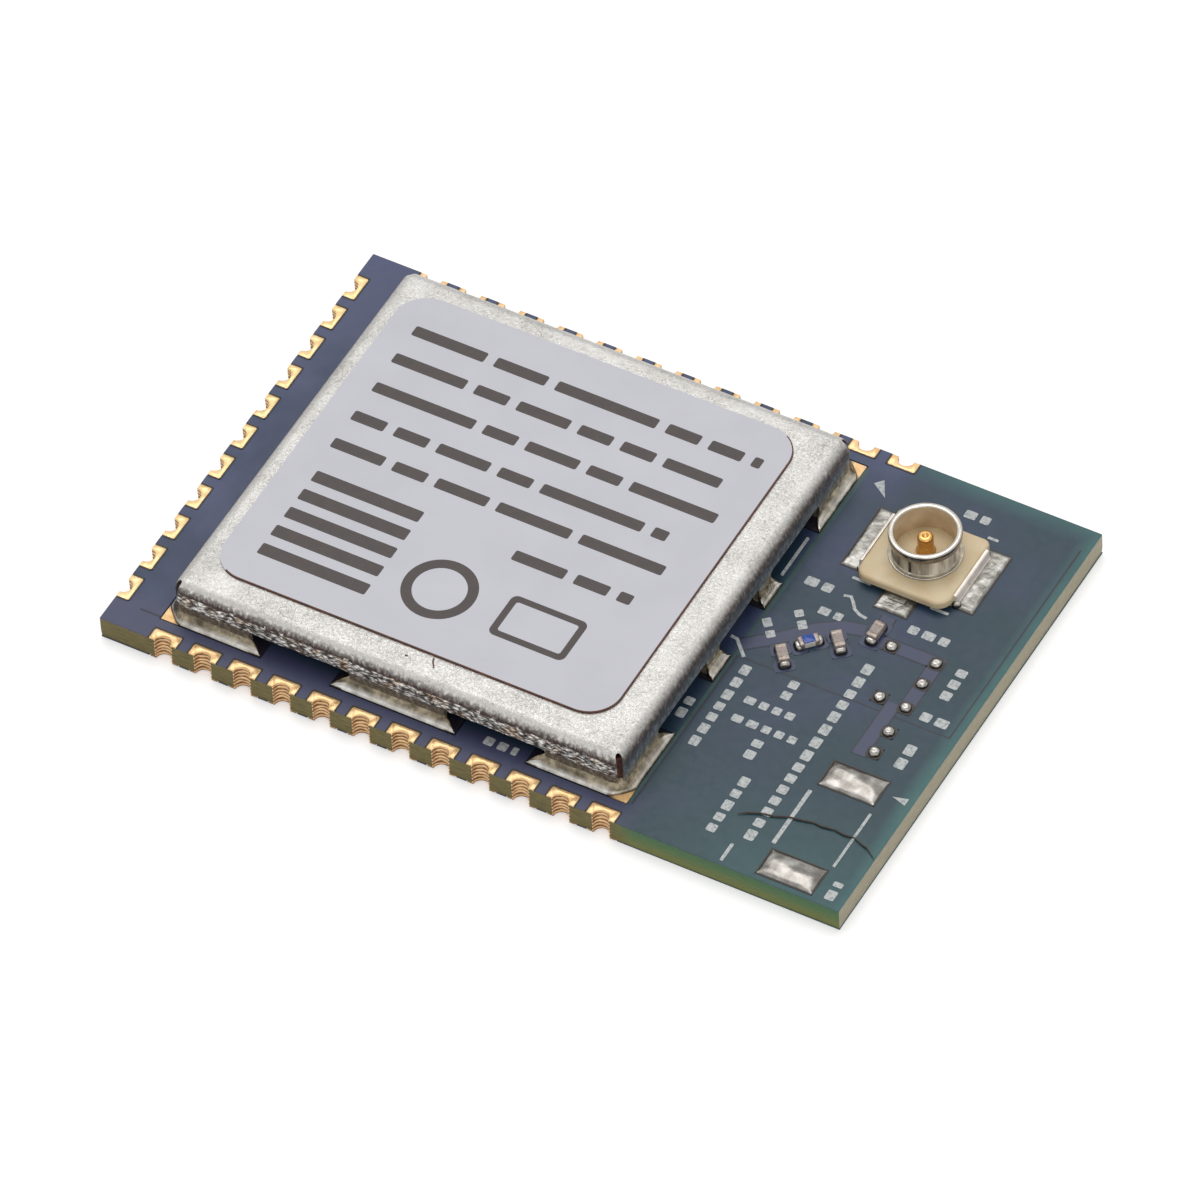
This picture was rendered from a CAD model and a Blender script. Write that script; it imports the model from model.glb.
"""The looks of a castellated wifi module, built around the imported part.

The board lies level with its underside on Z = 0. Its contacts run along the -Y, +Y and -X
edges, and the aerial socket stands at the +X end. Sizes are in millimetres, and MM turns them
to metres where a mesh, a pattern or a lamp is made.
"""

import math
import random

import bmesh
import bpy
from mathutils import Matrix, Vector, noise


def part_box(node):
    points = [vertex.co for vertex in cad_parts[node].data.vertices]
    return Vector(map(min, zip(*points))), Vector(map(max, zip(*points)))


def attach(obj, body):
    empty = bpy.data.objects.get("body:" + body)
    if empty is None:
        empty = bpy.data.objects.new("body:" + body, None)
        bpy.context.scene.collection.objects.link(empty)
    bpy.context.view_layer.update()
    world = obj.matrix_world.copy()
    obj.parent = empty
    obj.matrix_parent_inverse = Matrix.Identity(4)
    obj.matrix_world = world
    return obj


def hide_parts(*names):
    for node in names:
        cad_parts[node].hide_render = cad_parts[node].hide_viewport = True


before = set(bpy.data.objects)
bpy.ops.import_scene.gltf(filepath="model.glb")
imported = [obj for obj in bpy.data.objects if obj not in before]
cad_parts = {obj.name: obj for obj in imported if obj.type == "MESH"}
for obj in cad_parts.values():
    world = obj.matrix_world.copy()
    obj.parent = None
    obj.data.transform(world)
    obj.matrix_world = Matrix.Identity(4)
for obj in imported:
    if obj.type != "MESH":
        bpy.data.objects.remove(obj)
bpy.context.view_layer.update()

MM = 0.001


def box_mm(node):
    """Lowest and highest corner of a CAD node, in millimetres."""
    low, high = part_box(node)
    return low / MM, high / MM


# ---------------------------------------------------------------- sizes, in millimetres

board_low, board_high = box_mm("top_solder_mask")
LEFT, NEAR, RIGHT, FAR = board_low.x, board_low.y, board_high.x, board_high.y
BOARD_TOP = board_high.z
FILM_T = board_high.z - board_low.z

# along X, where the long sides turn from what lies between the contacts to a plain open side
OPEN_SIDE_FROM, OPEN_SIDE_TO = 4.4, 5.0
# the lower edge is ragged by this much, and its notches reach this far in
RAGGED_EDGE, NOTCH_REACH = 0.022, 0.3

CONTACT_PITCH = 1.214
CONTACT_W = 0.84
TOP_LAND_D = 0.37
UNDER_LAND_D = 0.9
# a plated land stands this far above the mask, and its plating is this lumpy
LAND_RISE, LUMP_REACH = 0.004, 0.008
NOTCH_R = 0.27
DRILL_FEED = 0.13
PLATING_T = 0.03
LAND_CORNER_R = 0.06
ROW_START = LEFT + 1.935
NEAR_CONTACTS, FAR_CONTACTS, END_CONTACTS = 12, 13, 11
END_START = -(END_CONTACTS - 1) / 2 * CONTACT_PITCH

can_low, can_high = box_mm("shield_can")
CAN_X = (can_low.x + can_high.x) / 2
CAN_L, CAN_W = can_high.x - can_low.x, can_high.y - can_low.y
CAN_H = can_high.z - BOARD_TOP
SHEET_T = 0.2
BEND_R = 0.35
WINDOW_H, WINDOW_R = 0.54, 0.12
LONG_WINDOW_L, MID_FOOT_L = 3.1, 2.85
END_WINDOW_L, SMALL_FOOT_L, CORNER_FOOT_L = 2.7, 0.65, 1.95
SLIT_W, SLIT_TOP = 0.17, 0.05
# how far a cutter reaches below the can's foot
CUT_PAST = 0.2
# the torn band of a long wall: where it stands out, and where it has its own finish
BAND_MIDDLE, BAND_HALF = 0.78, 0.27
BAND_LOW, BAND_HIGH = 0.53, 1.0
# the lands under the can's feet reach this far out, and this far past a foot's ends
LAND_OUT, LAND_OVER, SMALL_LAND_OVER = 0.24, 0.46, 0.16
# rows of points across a fillet
FILLET_ROWS = 7

label_low, label_high = box_mm("label")
LABEL_L, LABEL_W, LABEL_R = 12.1, 11.15, 0.95
LABEL_TURN = math.radians(0.25)
SCORCH_W = 0.035
LABEL_CENTRE = (label_low + label_high) / 2
LABEL_TOP = label_high.z

shell_low, shell_high = box_mm("socket_shell")
SOCKET_X = (shell_low.x + shell_high.x) / 2
SOCKET_Y = (shell_low.y + shell_high.y) / 2
RING_R = 1.0
RING_H = shell_high.z - BOARD_TOP
RING_WALL, LIP_OUT, LIP_H = 0.16, 0.09, 0.3
# the seam's direction and half its width, in degrees round the ring
SEAM_AT, SEAM_HALF = -90, 1.5
INSULATOR_H, INSULATOR_LIFT = 0.38, 0.12
INSULATOR_W, INSULATOR_FRONT, INSULATOR_BACK = 2.76, 1.5, 1.15
PIN_R, PIN_H = 0.22, 1.05
WING_W = 1.84
AXIS = (SOCKET_X, SOCKET_Y, BOARD_TOP)

# ---------------------------------------------------------------- materials

NOISE, RAMP, RANGE, MIX = "ShaderNodeTexNoise", "ShaderNodeValToRGB", "ShaderNodeMapRange", "ShaderNodeMix"
BUMP, MATH, VECTOR_MATH = "ShaderNodeBump", "ShaderNodeMath", "ShaderNodeVectorMath"
MAPPING, SPLIT = "ShaderNodeMapping", "ShaderNodeSeparateXYZ"


def paint(code):
    """An sRGB hex colour as linear RGBA."""
    channels = [int(code[i : i + 2], 16) / 255 for i in (1, 3, 5)]
    linear = [c / 12.92 if c <= 0.04045 else ((c + 0.055) / 1.055) ** 2.4 for c in channels]
    return (*linear, 1.0)


def per_mm(size):
    """Texture scale on Object coordinates for a pattern whose parts are size mm across."""
    return 1 / (size * MM)


def enabled(sockets, name=None):
    """The first socket in use, of that name where one is given."""
    return next(s for s in sockets if s.enabled and name in (None, s.name))


def add(tree, kind, inputs=(), stops=(), **settings):
    """Adds a node with its settings and links.

    An input goes by its name or its number. It takes a value, a hex colour, an output, or a node,
    whose first output in use is linked.
    """
    made = tree.nodes.new(kind)
    for name, value in settings.items():
        setattr(made, name, value)
    for key, value in dict(inputs).items():
        socket = made.inputs[key] if isinstance(key, int) else enabled(made.inputs, key)
        if isinstance(value, bpy.types.Node):
            value = enabled(value.outputs)
        if isinstance(value, bpy.types.NodeSocket):
            tree.links.new(value, socket)
        else:
            socket.default_value = paint(value) if isinstance(value, str) else value
    if stops:
        elements = made.color_ramp.elements
        while len(elements) < len(stops):
            elements.new(0.5)
        for element, (position, code) in zip(elements, stops):
            element.position, element.color = position, paint(code)
    return made


def finish(name, **sockets):
    """A new material: its tree, its Principled shader and its Object coordinates."""
    made = bpy.data.materials.new(name)
    made.use_nodes = True
    tree = made.node_tree
    tree.nodes.clear()
    values = {key.replace("_", " "): value for key, value in sockets.items()}
    shader = add(tree, "ShaderNodeBsdfPrincipled", values)
    add(tree, "ShaderNodeOutputMaterial", {"Surface": shader})
    return made, tree, shader, add(tree, "ShaderNodeTexCoord").outputs["Object"]


def join(tree, source, shader, name):
    """Links a node's first output in use to one of the shader's sockets."""
    tree.links.new(enabled(source.outputs), shader.inputs[name])


def normal_of(tree):
    """The parts of the surface's normal, by their letters."""
    return add(tree, SPLIT, {"Vector": add(tree, "ShaderNodeNewGeometry").outputs["Normal"]}).outputs


def mottled(name, stops, size, gloss, bump=0.0, bump_size=0.1, **sockets):
    """A finish whose colour and gloss vary gently in patches size mm across.

    A bump, in mm, gives it pits that are bump_size mm across.
    """
    made, tree, shader, place = finish(name, **sockets)
    patches = add(tree, NOISE, {"Vector": place, "Scale": per_mm(size), "Detail": 4.0})
    join(tree, add(tree, RAMP, {"Fac": patches}, stops), shader, "Base Color")
    swing = {"Value": patches, "From Min": 0.3, "From Max": 0.7, "To Min": gloss[0], "To Max": gloss[1]}
    join(tree, add(tree, RANGE, swing), shader, "Roughness")
    if bump:
        pits = add(tree, NOISE, {"Vector": place, "Scale": per_mm(bump_size), "Detail": 3.0})
        join(tree, add(tree, BUMP, {"Height": pits, "Distance": bump * MM}), shader, "Normal")
    return made


def make_laminate():
    """FR-4 glass epoxy with a milled edge: dull olive, the cloth's layers showing as level lines.

    The long sides turn green past the contacts, and the +X end shows the beige of cut cloth. What
    lies level keeps the mask's shade. A layer of cloth is drawn about 0.06 mm thick.
    """
    made, tree, shader, place = finish("milled_glass_epoxy", Roughness=0.6)
    at = add(tree, SPLIT, {"Vector": place}).outputs
    flat = add(tree, MAPPING, {"Vector": place, "Scale": (1, 1, 6)})
    threads = add(tree, NOISE, {"Vector": flat, "Scale": per_mm(0.35), "Detail": 5.0, "Roughness": 0.6})
    rise = add(tree, RANGE, {"Value": at["Z"], "From Max": BOARD_TOP * MM, "To Max": 0.75})
    blur = add(tree, RANGE, {"Value": threads, "To Min": -0.15, "To Max": 0.4})
    height = add(tree, MATH, {0: rise, 1: blur}, operation="ADD")
    open_side = add(tree, RAMP, {"Fac": height},
                    [(0.1, "#807f42"), (0.4, "#66733d"), (0.62, "#4a6e3f"), (0.9, "#356040")])
    between = add(tree, RAMP, {"Fac": threads}, [(0.3, "#54491f"), (0.7, "#7d7139")])
    end = add(tree, RAMP, {"Fac": threads}, [(0.3, "#9c937a"), (0.7, "#b6ad95")])
    past_contacts = add(tree, RANGE, {"Value": at["X"], "From Min": OPEN_SIDE_FROM * MM,
                                      "From Max": OPEN_SIDE_TO * MM})
    side = add(tree, MIX, {"Factor": past_contacts, "A": between, "B": open_side}, data_type="RGBA")
    normal = normal_of(tree)
    at_end = add(tree, RANGE, {"Value": normal["X"], "From Min": 0.7, "From Max": 0.9})
    milled = add(tree, MIX, {"Factor": at_end, "A": side, "B": end}, data_type="RGBA")
    level = add(tree, RANGE, {"Value": normal["Z"], "From Min": 0.6, "From Max": 0.9})
    colour = add(tree, MIX, {"Factor": level, "A": milled, "B": "#1d2537"}, data_type="RGBA")
    join(tree, colour, shader, "Base Color")
    join(tree, add(tree, BUMP, {"Height": threads, "Distance": 0.03 * MM}), shader, "Normal")
    return made


def make_mask():
    """Liquid solder mask over a copper plane: slate blue satin, teal where only laminate is below."""
    made, tree, shader, place = finish("blue_solder_mask", Specular_IOR_Level=0.4, Coat_Weight=0.05,
                                       Coat_Roughness=0.2)
    at = add(tree, SPLIT, {"Vector": place}).outputs
    patches = add(tree, NOISE, {"Vector": place, "Scale": per_mm(2.5), "Detail": 3.0})
    # the shade drifts from the near right corner to the far left one
    drift = add(tree, VECTOR_MATH, {0: place, 1: (-1 / (60 * MM), 1 / (40 * MM), 0)}, operation="DOT_PRODUCT")
    across = add(tree, MATH, {0: drift.outputs["Value"], 1: patches}, operation="ADD")
    plane = add(tree, RAMP, {"Fac": across},
                [(0.25, "#15343f"), (0.44, "#213648"), (0.6, "#2f3b58"), (0.8, "#444c6c")])
    # each zone: a coordinate, where it starts and where it is full, in mm, and how strong it is there
    zones = {
        "near_strip": ("Y", -6.0, -6.4, 1.0),
        "beside_can": ("X", 5.2, 4.2, 1.0),
        "aerial_edge": ("X", RIGHT - 0.5, RIGHT - 0.1, 1.0),
        "near_side": ("Y", -4.0, -6.8, 1.0),
        "aerial_end": ("X", 5.0, 11.0, 0.7),
        "far_edge": ("Y", FAR - 0.6, FAR - 0.1, 0.85),
        "past_can": ("X", 5.0, 6.5, 1.0),
    }
    shares = {}
    for zone, (letter, start, full, most) in zones.items():
        shares[zone] = add(tree, RANGE, {"Value": at[letter], "From Min": start * MM, "From Max": full * MM,
                                         "To Max": most})
    purple = add(tree, MATH, {0: shares["near_strip"], 1: shares["beside_can"]}, operation="MULTIPLY")
    plane = add(tree, MIX, {"Factor": purple, "A": plane, "B": "#40435f"}, data_type="RGBA")
    near_corner = add(tree, MATH, {0: shares["near_side"], 1: shares["aerial_end"]}, operation="MULTIPLY")
    far_strip = add(tree, MATH, {0: shares["far_edge"], 1: shares["past_can"]}, operation="MULTIPLY")
    sides = add(tree, MATH, {0: near_corner, 1: far_strip}, operation="MAXIMUM")
    no_plane = add(tree, MATH, {0: sides, 1: shares["aerial_edge"]}, operation="MAXIMUM")
    bare = add(tree, RAMP, {"Fac": patches}, [(0.35, "#2a5658"), (0.65, "#386663")])
    colour = add(tree, MIX, {"Factor": no_plane, "A": plane, "B": bare}, data_type="RGBA")
    join(tree, colour, shader, "Base Color")
    fine = add(tree, NOISE, {"Vector": place, "Scale": per_mm(0.25), "Detail": 2.0})
    gloss = add(tree, RANGE, {"Value": fine, "From Min": 0.3, "From Max": 0.7, "To Min": 0.36,
                              "To Max": 0.46})
    join(tree, gloss, shader, "Roughness")
    join(tree, add(tree, BUMP, {"Height": fine, "Distance": 0.002 * MM}), shader, "Normal")
    return made


def metal_by_facing(name, level, upright, grain_mm, cloud_mm, gloss, bump, tilts=(0.15, 0.85), **sockets):
    """A plated metal: pale where it lies level and darker where it stands upright.

    The two tilts are the upright parts of the normal between which the one turns into the other.
    """
    made, tree, shader, place = finish(name, **sockets)
    fine = add(tree, NOISE, {"Vector": place, "Scale": per_mm(grain_mm), "Detail": 4.0, "Roughness": 0.65})
    cloud = add(tree, NOISE, {"Vector": place, "Scale": per_mm(cloud_mm), "Detail": 3.0})
    both = add(tree, MIX, {"Factor": 0.3, "A": fine, "B": cloud}, data_type="FLOAT")
    drawn = add(tree, NOISE, {"Vector": place, "Scale": per_mm(grain_mm * 1.2), "Detail": 4.0,
                              "Roughness": 0.6})
    tilt = add(tree, RANGE, {"Value": normal_of(tree)["Z"], "From Min": tilts[0], "From Max": tilts[1]})
    dark = add(tree, RAMP, {"Fac": drawn}, upright)
    pale = add(tree, RAMP, {"Fac": both}, level)
    join(tree, add(tree, MIX, {"Factor": tilt, "A": dark, "B": pale}, data_type="RGBA"), shader, "Base Color")
    shine = add(tree, RANGE, {"Value": both, "From Min": 0.35, "From Max": 0.65, "To Min": gloss[1],
                              "To Max": gloss[0]})
    join(tree, shine, shader, "Roughness")
    join(tree, add(tree, BUMP, {"Height": fine, "Distance": bump * MM}), shader, "Normal")
    return made


def make_can_steel():
    """Tin-plated cold-rolled steel: pale, matte and finely pitted where it lies level.

    The upright walls are burnished by the folding tool in level bands. The real grain is about
    0.02 mm and is drawn at 0.07 mm so that it shows.
    """
    made, tree, shader, place = finish("tin_plated_steel")
    fine = add(tree, NOISE, {"Vector": place, "Scale": per_mm(0.075), "Detail": 4.0, "Roughness": 0.65,
                             "Distortion": 1.0})
    cloud = add(tree, NOISE, {"Vector": place, "Scale": per_mm(0.9), "Detail": 3.0})
    both = add(tree, MIX, {"Factor": 0.3, "A": fine, "B": cloud}, data_type="FLOAT")
    level = add(tree, RAMP, {"Fac": both}, [(0.32, "#8f8c88"), (0.48, "#b5b3af"), (0.68, "#cac8c5")])
    # a wall's height as a share of the can's, stirred a little so that no band is straight
    upwards = add(tree, SPLIT, {"Vector": place}).outputs["Z"]
    rise = add(tree, RANGE, {"Value": upwards, "From Min": BOARD_TOP * MM,
                             "From Max": (BOARD_TOP + CAN_H) * MM})
    tall = add(tree, MAPPING, {"Vector": place, "Scale": (1, 1, 0.6)})
    streaks = add(tree, NOISE, {"Vector": tall, "Scale": per_mm(0.11), "Detail": 4.0, "Roughness": 0.65})
    stir = add(tree, RANGE, {"Value": streaks, "From Min": 0.3, "From Max": 0.7, "To Min": -0.035,
                             "To Max": 0.035})
    height = add(tree, MATH, {0: rise, 1: stir}, operation="ADD")
    # a long wall is dull at its foot, bright halfway up, dark above that and bright again at its bend
    long_wall = add(tree, RAMP, {"Fac": height},
                    [(0.1, "#a59a85"), (0.28, "#85796a"), (0.5, "#78746f"), (0.57, "#d0ccc7"),
                     (0.63, "#a59e98"), (0.7, "#4a3935"), (0.78, "#4d3d39"), (0.86, "#a29e9a"),
                     (0.93, "#e0ddd9")])
    end_wall = add(tree, RAMP, {"Fac": height},
                   [(0.1, "#c6bda3"), (0.3, "#b5ae9b"), (0.45, "#959da6"), (0.62, "#78818c"),
                    (0.78, "#6d6664"), (0.9, "#827d7a"), (0.97, "#a5a29e")])
    normal = normal_of(tree)
    sideways = add(tree, MATH, {0: normal["X"]}, operation="ABSOLUTE")
    at_end = add(tree, RANGE, {"Value": sideways, "From Min": 0.3, "From Max": 0.7})
    wall = add(tree, MIX, {"Factor": at_end, "A": long_wall, "B": end_wall}, data_type="RGBA")
    pits = add(tree, RAMP, {"Fac": streaks}, [(0.36, "#1d1a18"), (0.5, "#75716c"), (0.64, "#e6e4e1")])
    pitted = add(tree, MIX, {"Factor": 0.55, "A": wall, "B": pits}, data_type="RGBA", blend_type="OVERLAY")
    tilt = add(tree, RANGE, {"Value": normal["Z"], "From Min": 0.45, "From Max": 0.95})
    colour = add(tree, MIX, {"Factor": tilt, "A": pitted, "B": level}, data_type="RGBA")
    join(tree, colour, shader, "Base Color")
    join(tree, add(tree, RANGE, {"Value": tilt, "To Min": 0.4, "To Max": 0.9}), shader, "Metallic")
    shine = add(tree, RANGE, {"Value": both, "From Min": 0.35, "From Max": 0.65, "To Min": 0.52,
                              "To Max": 0.36})
    join(tree, shine, shader, "Roughness")
    join(tree, add(tree, BUMP, {"Height": fine, "Distance": 0.014 * MM}), shader, "Normal")
    return made


def make_crimped_steel():
    """Torn, rubbed steel: slanted flecks like a rope, brown in the hollows and bright on the ridges."""
    made, tree, shader, place = finish("crimped_steel", Metallic=0.6)
    sway = add(tree, NOISE, {"Vector": place, "Scale": per_mm(0.35), "Detail": 3.0}).outputs["Color"]
    shift = add(tree, VECTOR_MATH, {0: sway, "Scale": 0.16 * MM}, operation="SCALE")
    bent = add(tree, VECTOR_MATH, {0: place, 1: shift}, operation="ADD")
    slant = add(tree, MAPPING, {"Vector": bent, "Rotation": (0, math.radians(24), 0), "Scale": (1, 1, 2.3)})
    flecks = add(tree, "ShaderNodeTexVoronoi", {"Vector": slant, "Scale": per_mm(0.18)}).outputs["Distance"]
    grain = add(tree, NOISE, {"Vector": slant, "Scale": per_mm(0.08), "Detail": 4.0})
    ridge = add(tree, RANGE, {"Value": flecks, "From Min": 0.15, "From Max": 0.75, "To Min": 0.85,
                              "To Max": 0.1})
    height = add(tree, MIX, {"Factor": 0.42, "A": ridge, "B": grain}, data_type="FLOAT")
    cold = add(tree, RAMP, {"Fac": height},
               [(0.28, "#383534"), (0.43, "#918e8b"), (0.58, "#d4d2cf"), (0.7, "#fbfaf9")])
    brown = add(tree, RAMP, {"Fac": height},
                [(0.28, "#45342a"), (0.43, "#9a8470"), (0.58, "#d3c0aa"), (0.7, "#f9f0e6")])
    tint = add(tree, NOISE, {"Vector": place, "Scale": per_mm(0.45), "Detail": 3.0})
    share = add(tree, RANGE, {"Value": tint, "From Min": 0.5, "From Max": 0.68})
    colour = add(tree, MIX, {"Factor": share, "A": cold, "B": brown}, data_type="RGBA")
    join(tree, colour, shader, "Base Color")
    join(tree, add(tree, RANGE, {"Value": height, "To Min": 0.55, "To Max": 0.25}), shader, "Roughness")
    join(tree, add(tree, BUMP, {"Height": height, "Distance": 0.1 * MM}), shader, "Normal")
    return made


def make_immersion_gold(name, stops):
    """Gold over nickel over copper: warm and satin; in the drilled half holes the drill's rings show dark."""
    made, tree, shader, place = finish(name, Metallic=0.5)
    patches = add(tree, NOISE, {"Vector": place, "Scale": per_mm(0.14), "Detail": 4.0})
    level = add(tree, RAMP, {"Fac": patches}, stops)
    # one ring for each turn of the drill; at a scale of 1 this texture's waves are pi / 10 apart
    ring_scale = math.pi / (10 * DRILL_FEED * MM)
    rings = add(tree, "ShaderNodeTexWave",
                {"Vector": place, "Scale": ring_scale, "Distortion": 2.4, "Detail": 3.0, "Detail Scale": 1.6},
                bands_direction="Z")
    holes = add(tree, RAMP, {"Fac": rings}, [(0.1, "#6a492a"), (0.35, "#b58a5c"), (0.7, "#efc794")])
    tilt = add(tree, RANGE, {"Value": normal_of(tree)["Z"], "From Min": 0.4, "From Max": 0.8})
    colour = add(tree, MIX, {"Factor": tilt, "A": holes, "B": level}, data_type="RGBA")
    join(tree, colour, shader, "Base Color")
    gloss = add(tree, RANGE, {"Value": patches, "From Min": 0.3, "From Max": 0.7, "To Min": 0.34,
                              "To Max": 0.48})
    join(tree, gloss, shader, "Roughness")
    join(tree, add(tree, BUMP, {"Height": rings, "Distance": 0.012 * MM}), shader, "Normal")
    return made


def make_stained_gold():
    """Gold that shows clean only at the can's open corners; elsewhere brown flux lies on it."""
    made, tree, shader, place = finish("flux_stained_gold", Metallic=0.3, Roughness=0.4)
    at = add(tree, SPLIT, {"Vector": place}).outputs
    along = add(tree, MATH, {0: at["X"], 1: CAN_X * MM}, operation="SUBTRACT")
    ends = []
    for source, half in ((along, CAN_L / 2), (at["Y"], CAN_W / 2)):
        out = add(tree, MATH, {0: source}, operation="ABSOLUTE")
        ends.append(add(tree, RANGE, {"Value": out, "From Min": (half - 0.3) * MM,
                                      "From Max": (half - 0.1) * MM}))
    corner = add(tree, MATH, {0: ends[0], 1: ends[1]}, operation="MINIMUM")
    patches = add(tree, NOISE, {"Vector": place, "Scale": per_mm(0.15), "Detail": 3.0})
    clean = add(tree, RAMP, {"Fac": patches}, [(0.3, "#d9a96c"), (0.7, "#f3cd98")])
    stained = add(tree, RAMP, {"Fac": patches}, [(0.3, "#25242f"), (0.7, "#37323a")])
    colour = add(tree, MIX, {"Factor": corner, "A": stained, "B": clean}, data_type="RGBA")
    join(tree, colour, shader, "Base Color")
    return made


def make_silver_neck():
    """Drawn silver that mirrors a busy bench: upright light and dark streaks round the ring."""
    made, tree, shader, place = finish("drawn_silver_neck", Metallic=0.6, Roughness=0.28)
    upright = add(tree, MAPPING, {"Vector": place, "Scale": (1, 1, 0.18)})
    streaks = add(tree, NOISE, {"Vector": upright, "Scale": per_mm(0.3), "Detail": 3.0, "Roughness": 0.6})
    lit = add(tree, RANGE, {"Value": normal_of(tree)["X"], "From Min": 0.1, "From Max": 0.95, "To Min": -0.03,
                            "To Max": 0.22})
    total = add(tree, MATH, {0: streaks, 1: lit}, operation="ADD")
    colour = add(tree, RAMP, {"Fac": total},
                 [(0.34, "#5a554f"), (0.5, "#9b968f"), (0.6, "#b5b1aa"), (0.74, "#f2f0ed")])
    join(tree, colour, shader, "Base Color")
    return made


# the board's core, seen at its milled sides
laminate = make_laminate()
# the board's blue skin
solder_mask = make_mask()
# the can's sheet
tinned_steel = make_can_steel()
# immersion gold over nickel: warm, satin, a little grainy
immersion_gold = make_immersion_gold("immersion_gold",
                                     [(0.3, "#ecbf84"), (0.55, "#fad19a"), (0.8, "#ffe2b8")])
# the row at the left end, plated thicker and paler
pale_gold = make_immersion_gold("pale_immersion_gold",
                                [(0.3, "#eecb8e"), (0.55, "#fbd99f"), (0.8, "#ffe8be")])
# the same gold under a can's foot: bright only at the open corners, stained by flux elsewhere
stained_gold = make_stained_gold()
# reflowed tin-silver solder: bright, almost smooth, with frosty patches
solder = metal_by_facing("reflowed_solder", [(0.34, "#b5b2ae"), (0.5, "#dad8d5"), (0.64, "#f4f3f2")],
                         [(0.34, "#524a3c"), (0.5, "#7a705e"), (0.64, "#a1967f")], 0.25, 0.5, (0.14, 0.3),
                         0.015, (0.62, 0.97), Metallic=0.85)
# hot-levelled tin on flat lands: crushed, dull and sparkling by turns
flat_tin = mottled("wrinkled_tin", [(0.36, "#787670"), (0.5, "#92908a"), (0.62, "#b3b1ac")], 0.34,
                   (0.26, 0.46), 0.02, 0.16, Metallic=0.85)
# the can's steel where a tool has torn and rubbed it
crimped_steel = make_crimped_steel()
# small solder joints: a clear mirror, dark on its upright sides
joint_solder = metal_by_facing("mirror_solder", [(0.3, "#6f6b65"), (0.6, "#b7b4af")],
                               [(0.3, "#3b352f"), (0.6, "#6d675f")], 0.08, 0.3, (0.1, 0.2), 0.01,
                               Metallic=1.0)
# wave-soldered pads: a little frosted, grey in the hollows
pad_solder = mottled("frosted_solder", [(0.34, "#716d68"), (0.5, "#8d8984"), (0.64, "#aaa7a2")], 0.4,
                     (0.2, 0.36), 0.012, 0.4, Metallic=0.9)
# the ring's inside, which picks up the beige of the moulding below it
silver_inside = mottled("silver_plate_inside", [(0.3, "#c2ab8a"), (0.7, "#dccbae")], 0.5, (0.35, 0.5),
                        Metallic=0.15)
# the ring's neck, drawn smooth: streaks of a bench's reflection
silver_neck = make_silver_neck()
# the ring's flange, which mirrors the moulding under it
silver_flange = mottled("silver_plate_flange", [(0.3, "#8d8473"), (0.7, "#b7ab94")], 0.3, (0.2, 0.3),
                        Metallic=0.5)
# the socket's bent wings: silver with a faint pink cast
silver_wing = mottled("silver_plate_wings", [(0.3, "#e6dbd1"), (0.7, "#f7eee6")], 0.3, (0.25, 0.35),
                      Metallic=0.25)
# polyester label film with a satin face
label_film = mottled("satin_label_film", [(0.3, "#c4c4cb"), (0.7, "#cbcbd2")], 1.8, (0.42, 0.5),
                     0.002, 0.2, Specular_IOR_Level=0.4)
# the film's laser-cut side
burnt_edge = mottled("scorched_film_edge", [(0.3, "#3a1f16"), (0.7, "#6a4534")], 0.2, (0.6, 0.75))
# laser-marked print, a dull brown-grey
print_ink = mottled("dark_print", [(0.3, "#3a3331"), (0.7, "#4a413e")], 0.3, (0.5, 0.6))
# silver-plated brass, drawn and polished
silver_plate = metal_by_facing("silver_plate", [(0.3, "#b5aea5"), (0.7, "#ccc6bd")],
                               [(0.3, "#77726b"), (0.7, "#8f8a83")], 0.2, 0.6, (0.1, 0.2), 0.001,
                               Metallic=1.0)
# gold-plated brass pin, turned
pin_gold = mottled("gold_plate", [(0.3, "#c9964e"), (0.7, "#d9af74")], 0.15, (0.2, 0.3), Metallic=1.0)
# liquid-crystal polymer, moulded: beige, slightly waxy
socket_resin = mottled("moulded_polymer", [(0.3, "#cdb78f"), (0.7, "#dccaa8")], 0.6, (0.42, 0.52),
                       0.003, 0.08, Subsurface_Weight=0.15, Subsurface_Scale=0.3 * MM)
# sintered barium titanate, brown-grey and matte
ceramic = mottled("sintered_ceramic", [(0.3, "#8d817a"), (0.7, "#b0a49b")], 0.09, (0.5, 0.6), 0.004, 0.04)
# tin over nickel on a chip's ends, faintly pink from its surroundings
chip_tin = mottled("plated_chip_ends", [(0.3, "#857870"), (0.7, "#b9aba0")], 0.09, (0.34, 0.46),
                   0.008, 0.06, Metallic=0.5)
# fired glass over a resistor: bright blue and glossy
blue_glaze = mottled("blue_glass_glaze", [(0.3, "#02348c"), (0.7, "#0649a8")], 0.12, (0.2, 0.3))
# sintered alumina, the resistor's white body
alumina = mottled("alumina", [(0.3, "#cfcac0"), (0.7, "#dedad2")], 0.1, (0.5, 0.6))
# epoxy ink, a warm white whose edges bleed a little
legend_ink = mottled("legend_ink", [(0.34, "#8b9295"), (0.46, "#b2b6b6"), (0.66, "#c6c9c7")], 0.08,
                     (0.5, 0.6))
# mask over a raised copper track: a shade more purple than over the plane
mask_over_track = mottled("mask_over_track", [(0.3, "#262e4c"), (0.7, "#2f3856")], 0.6, (0.36, 0.46),
                          Coat_Weight=0.12, Coat_Roughness=0.18)
# mask with only laminate under it: a dark teal
mask_over_laminate = mottled("mask_over_laminate", [(0.3, "#1d3b3f"), (0.7, "#274a4a")], 0.5, (0.36, 0.46))
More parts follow.
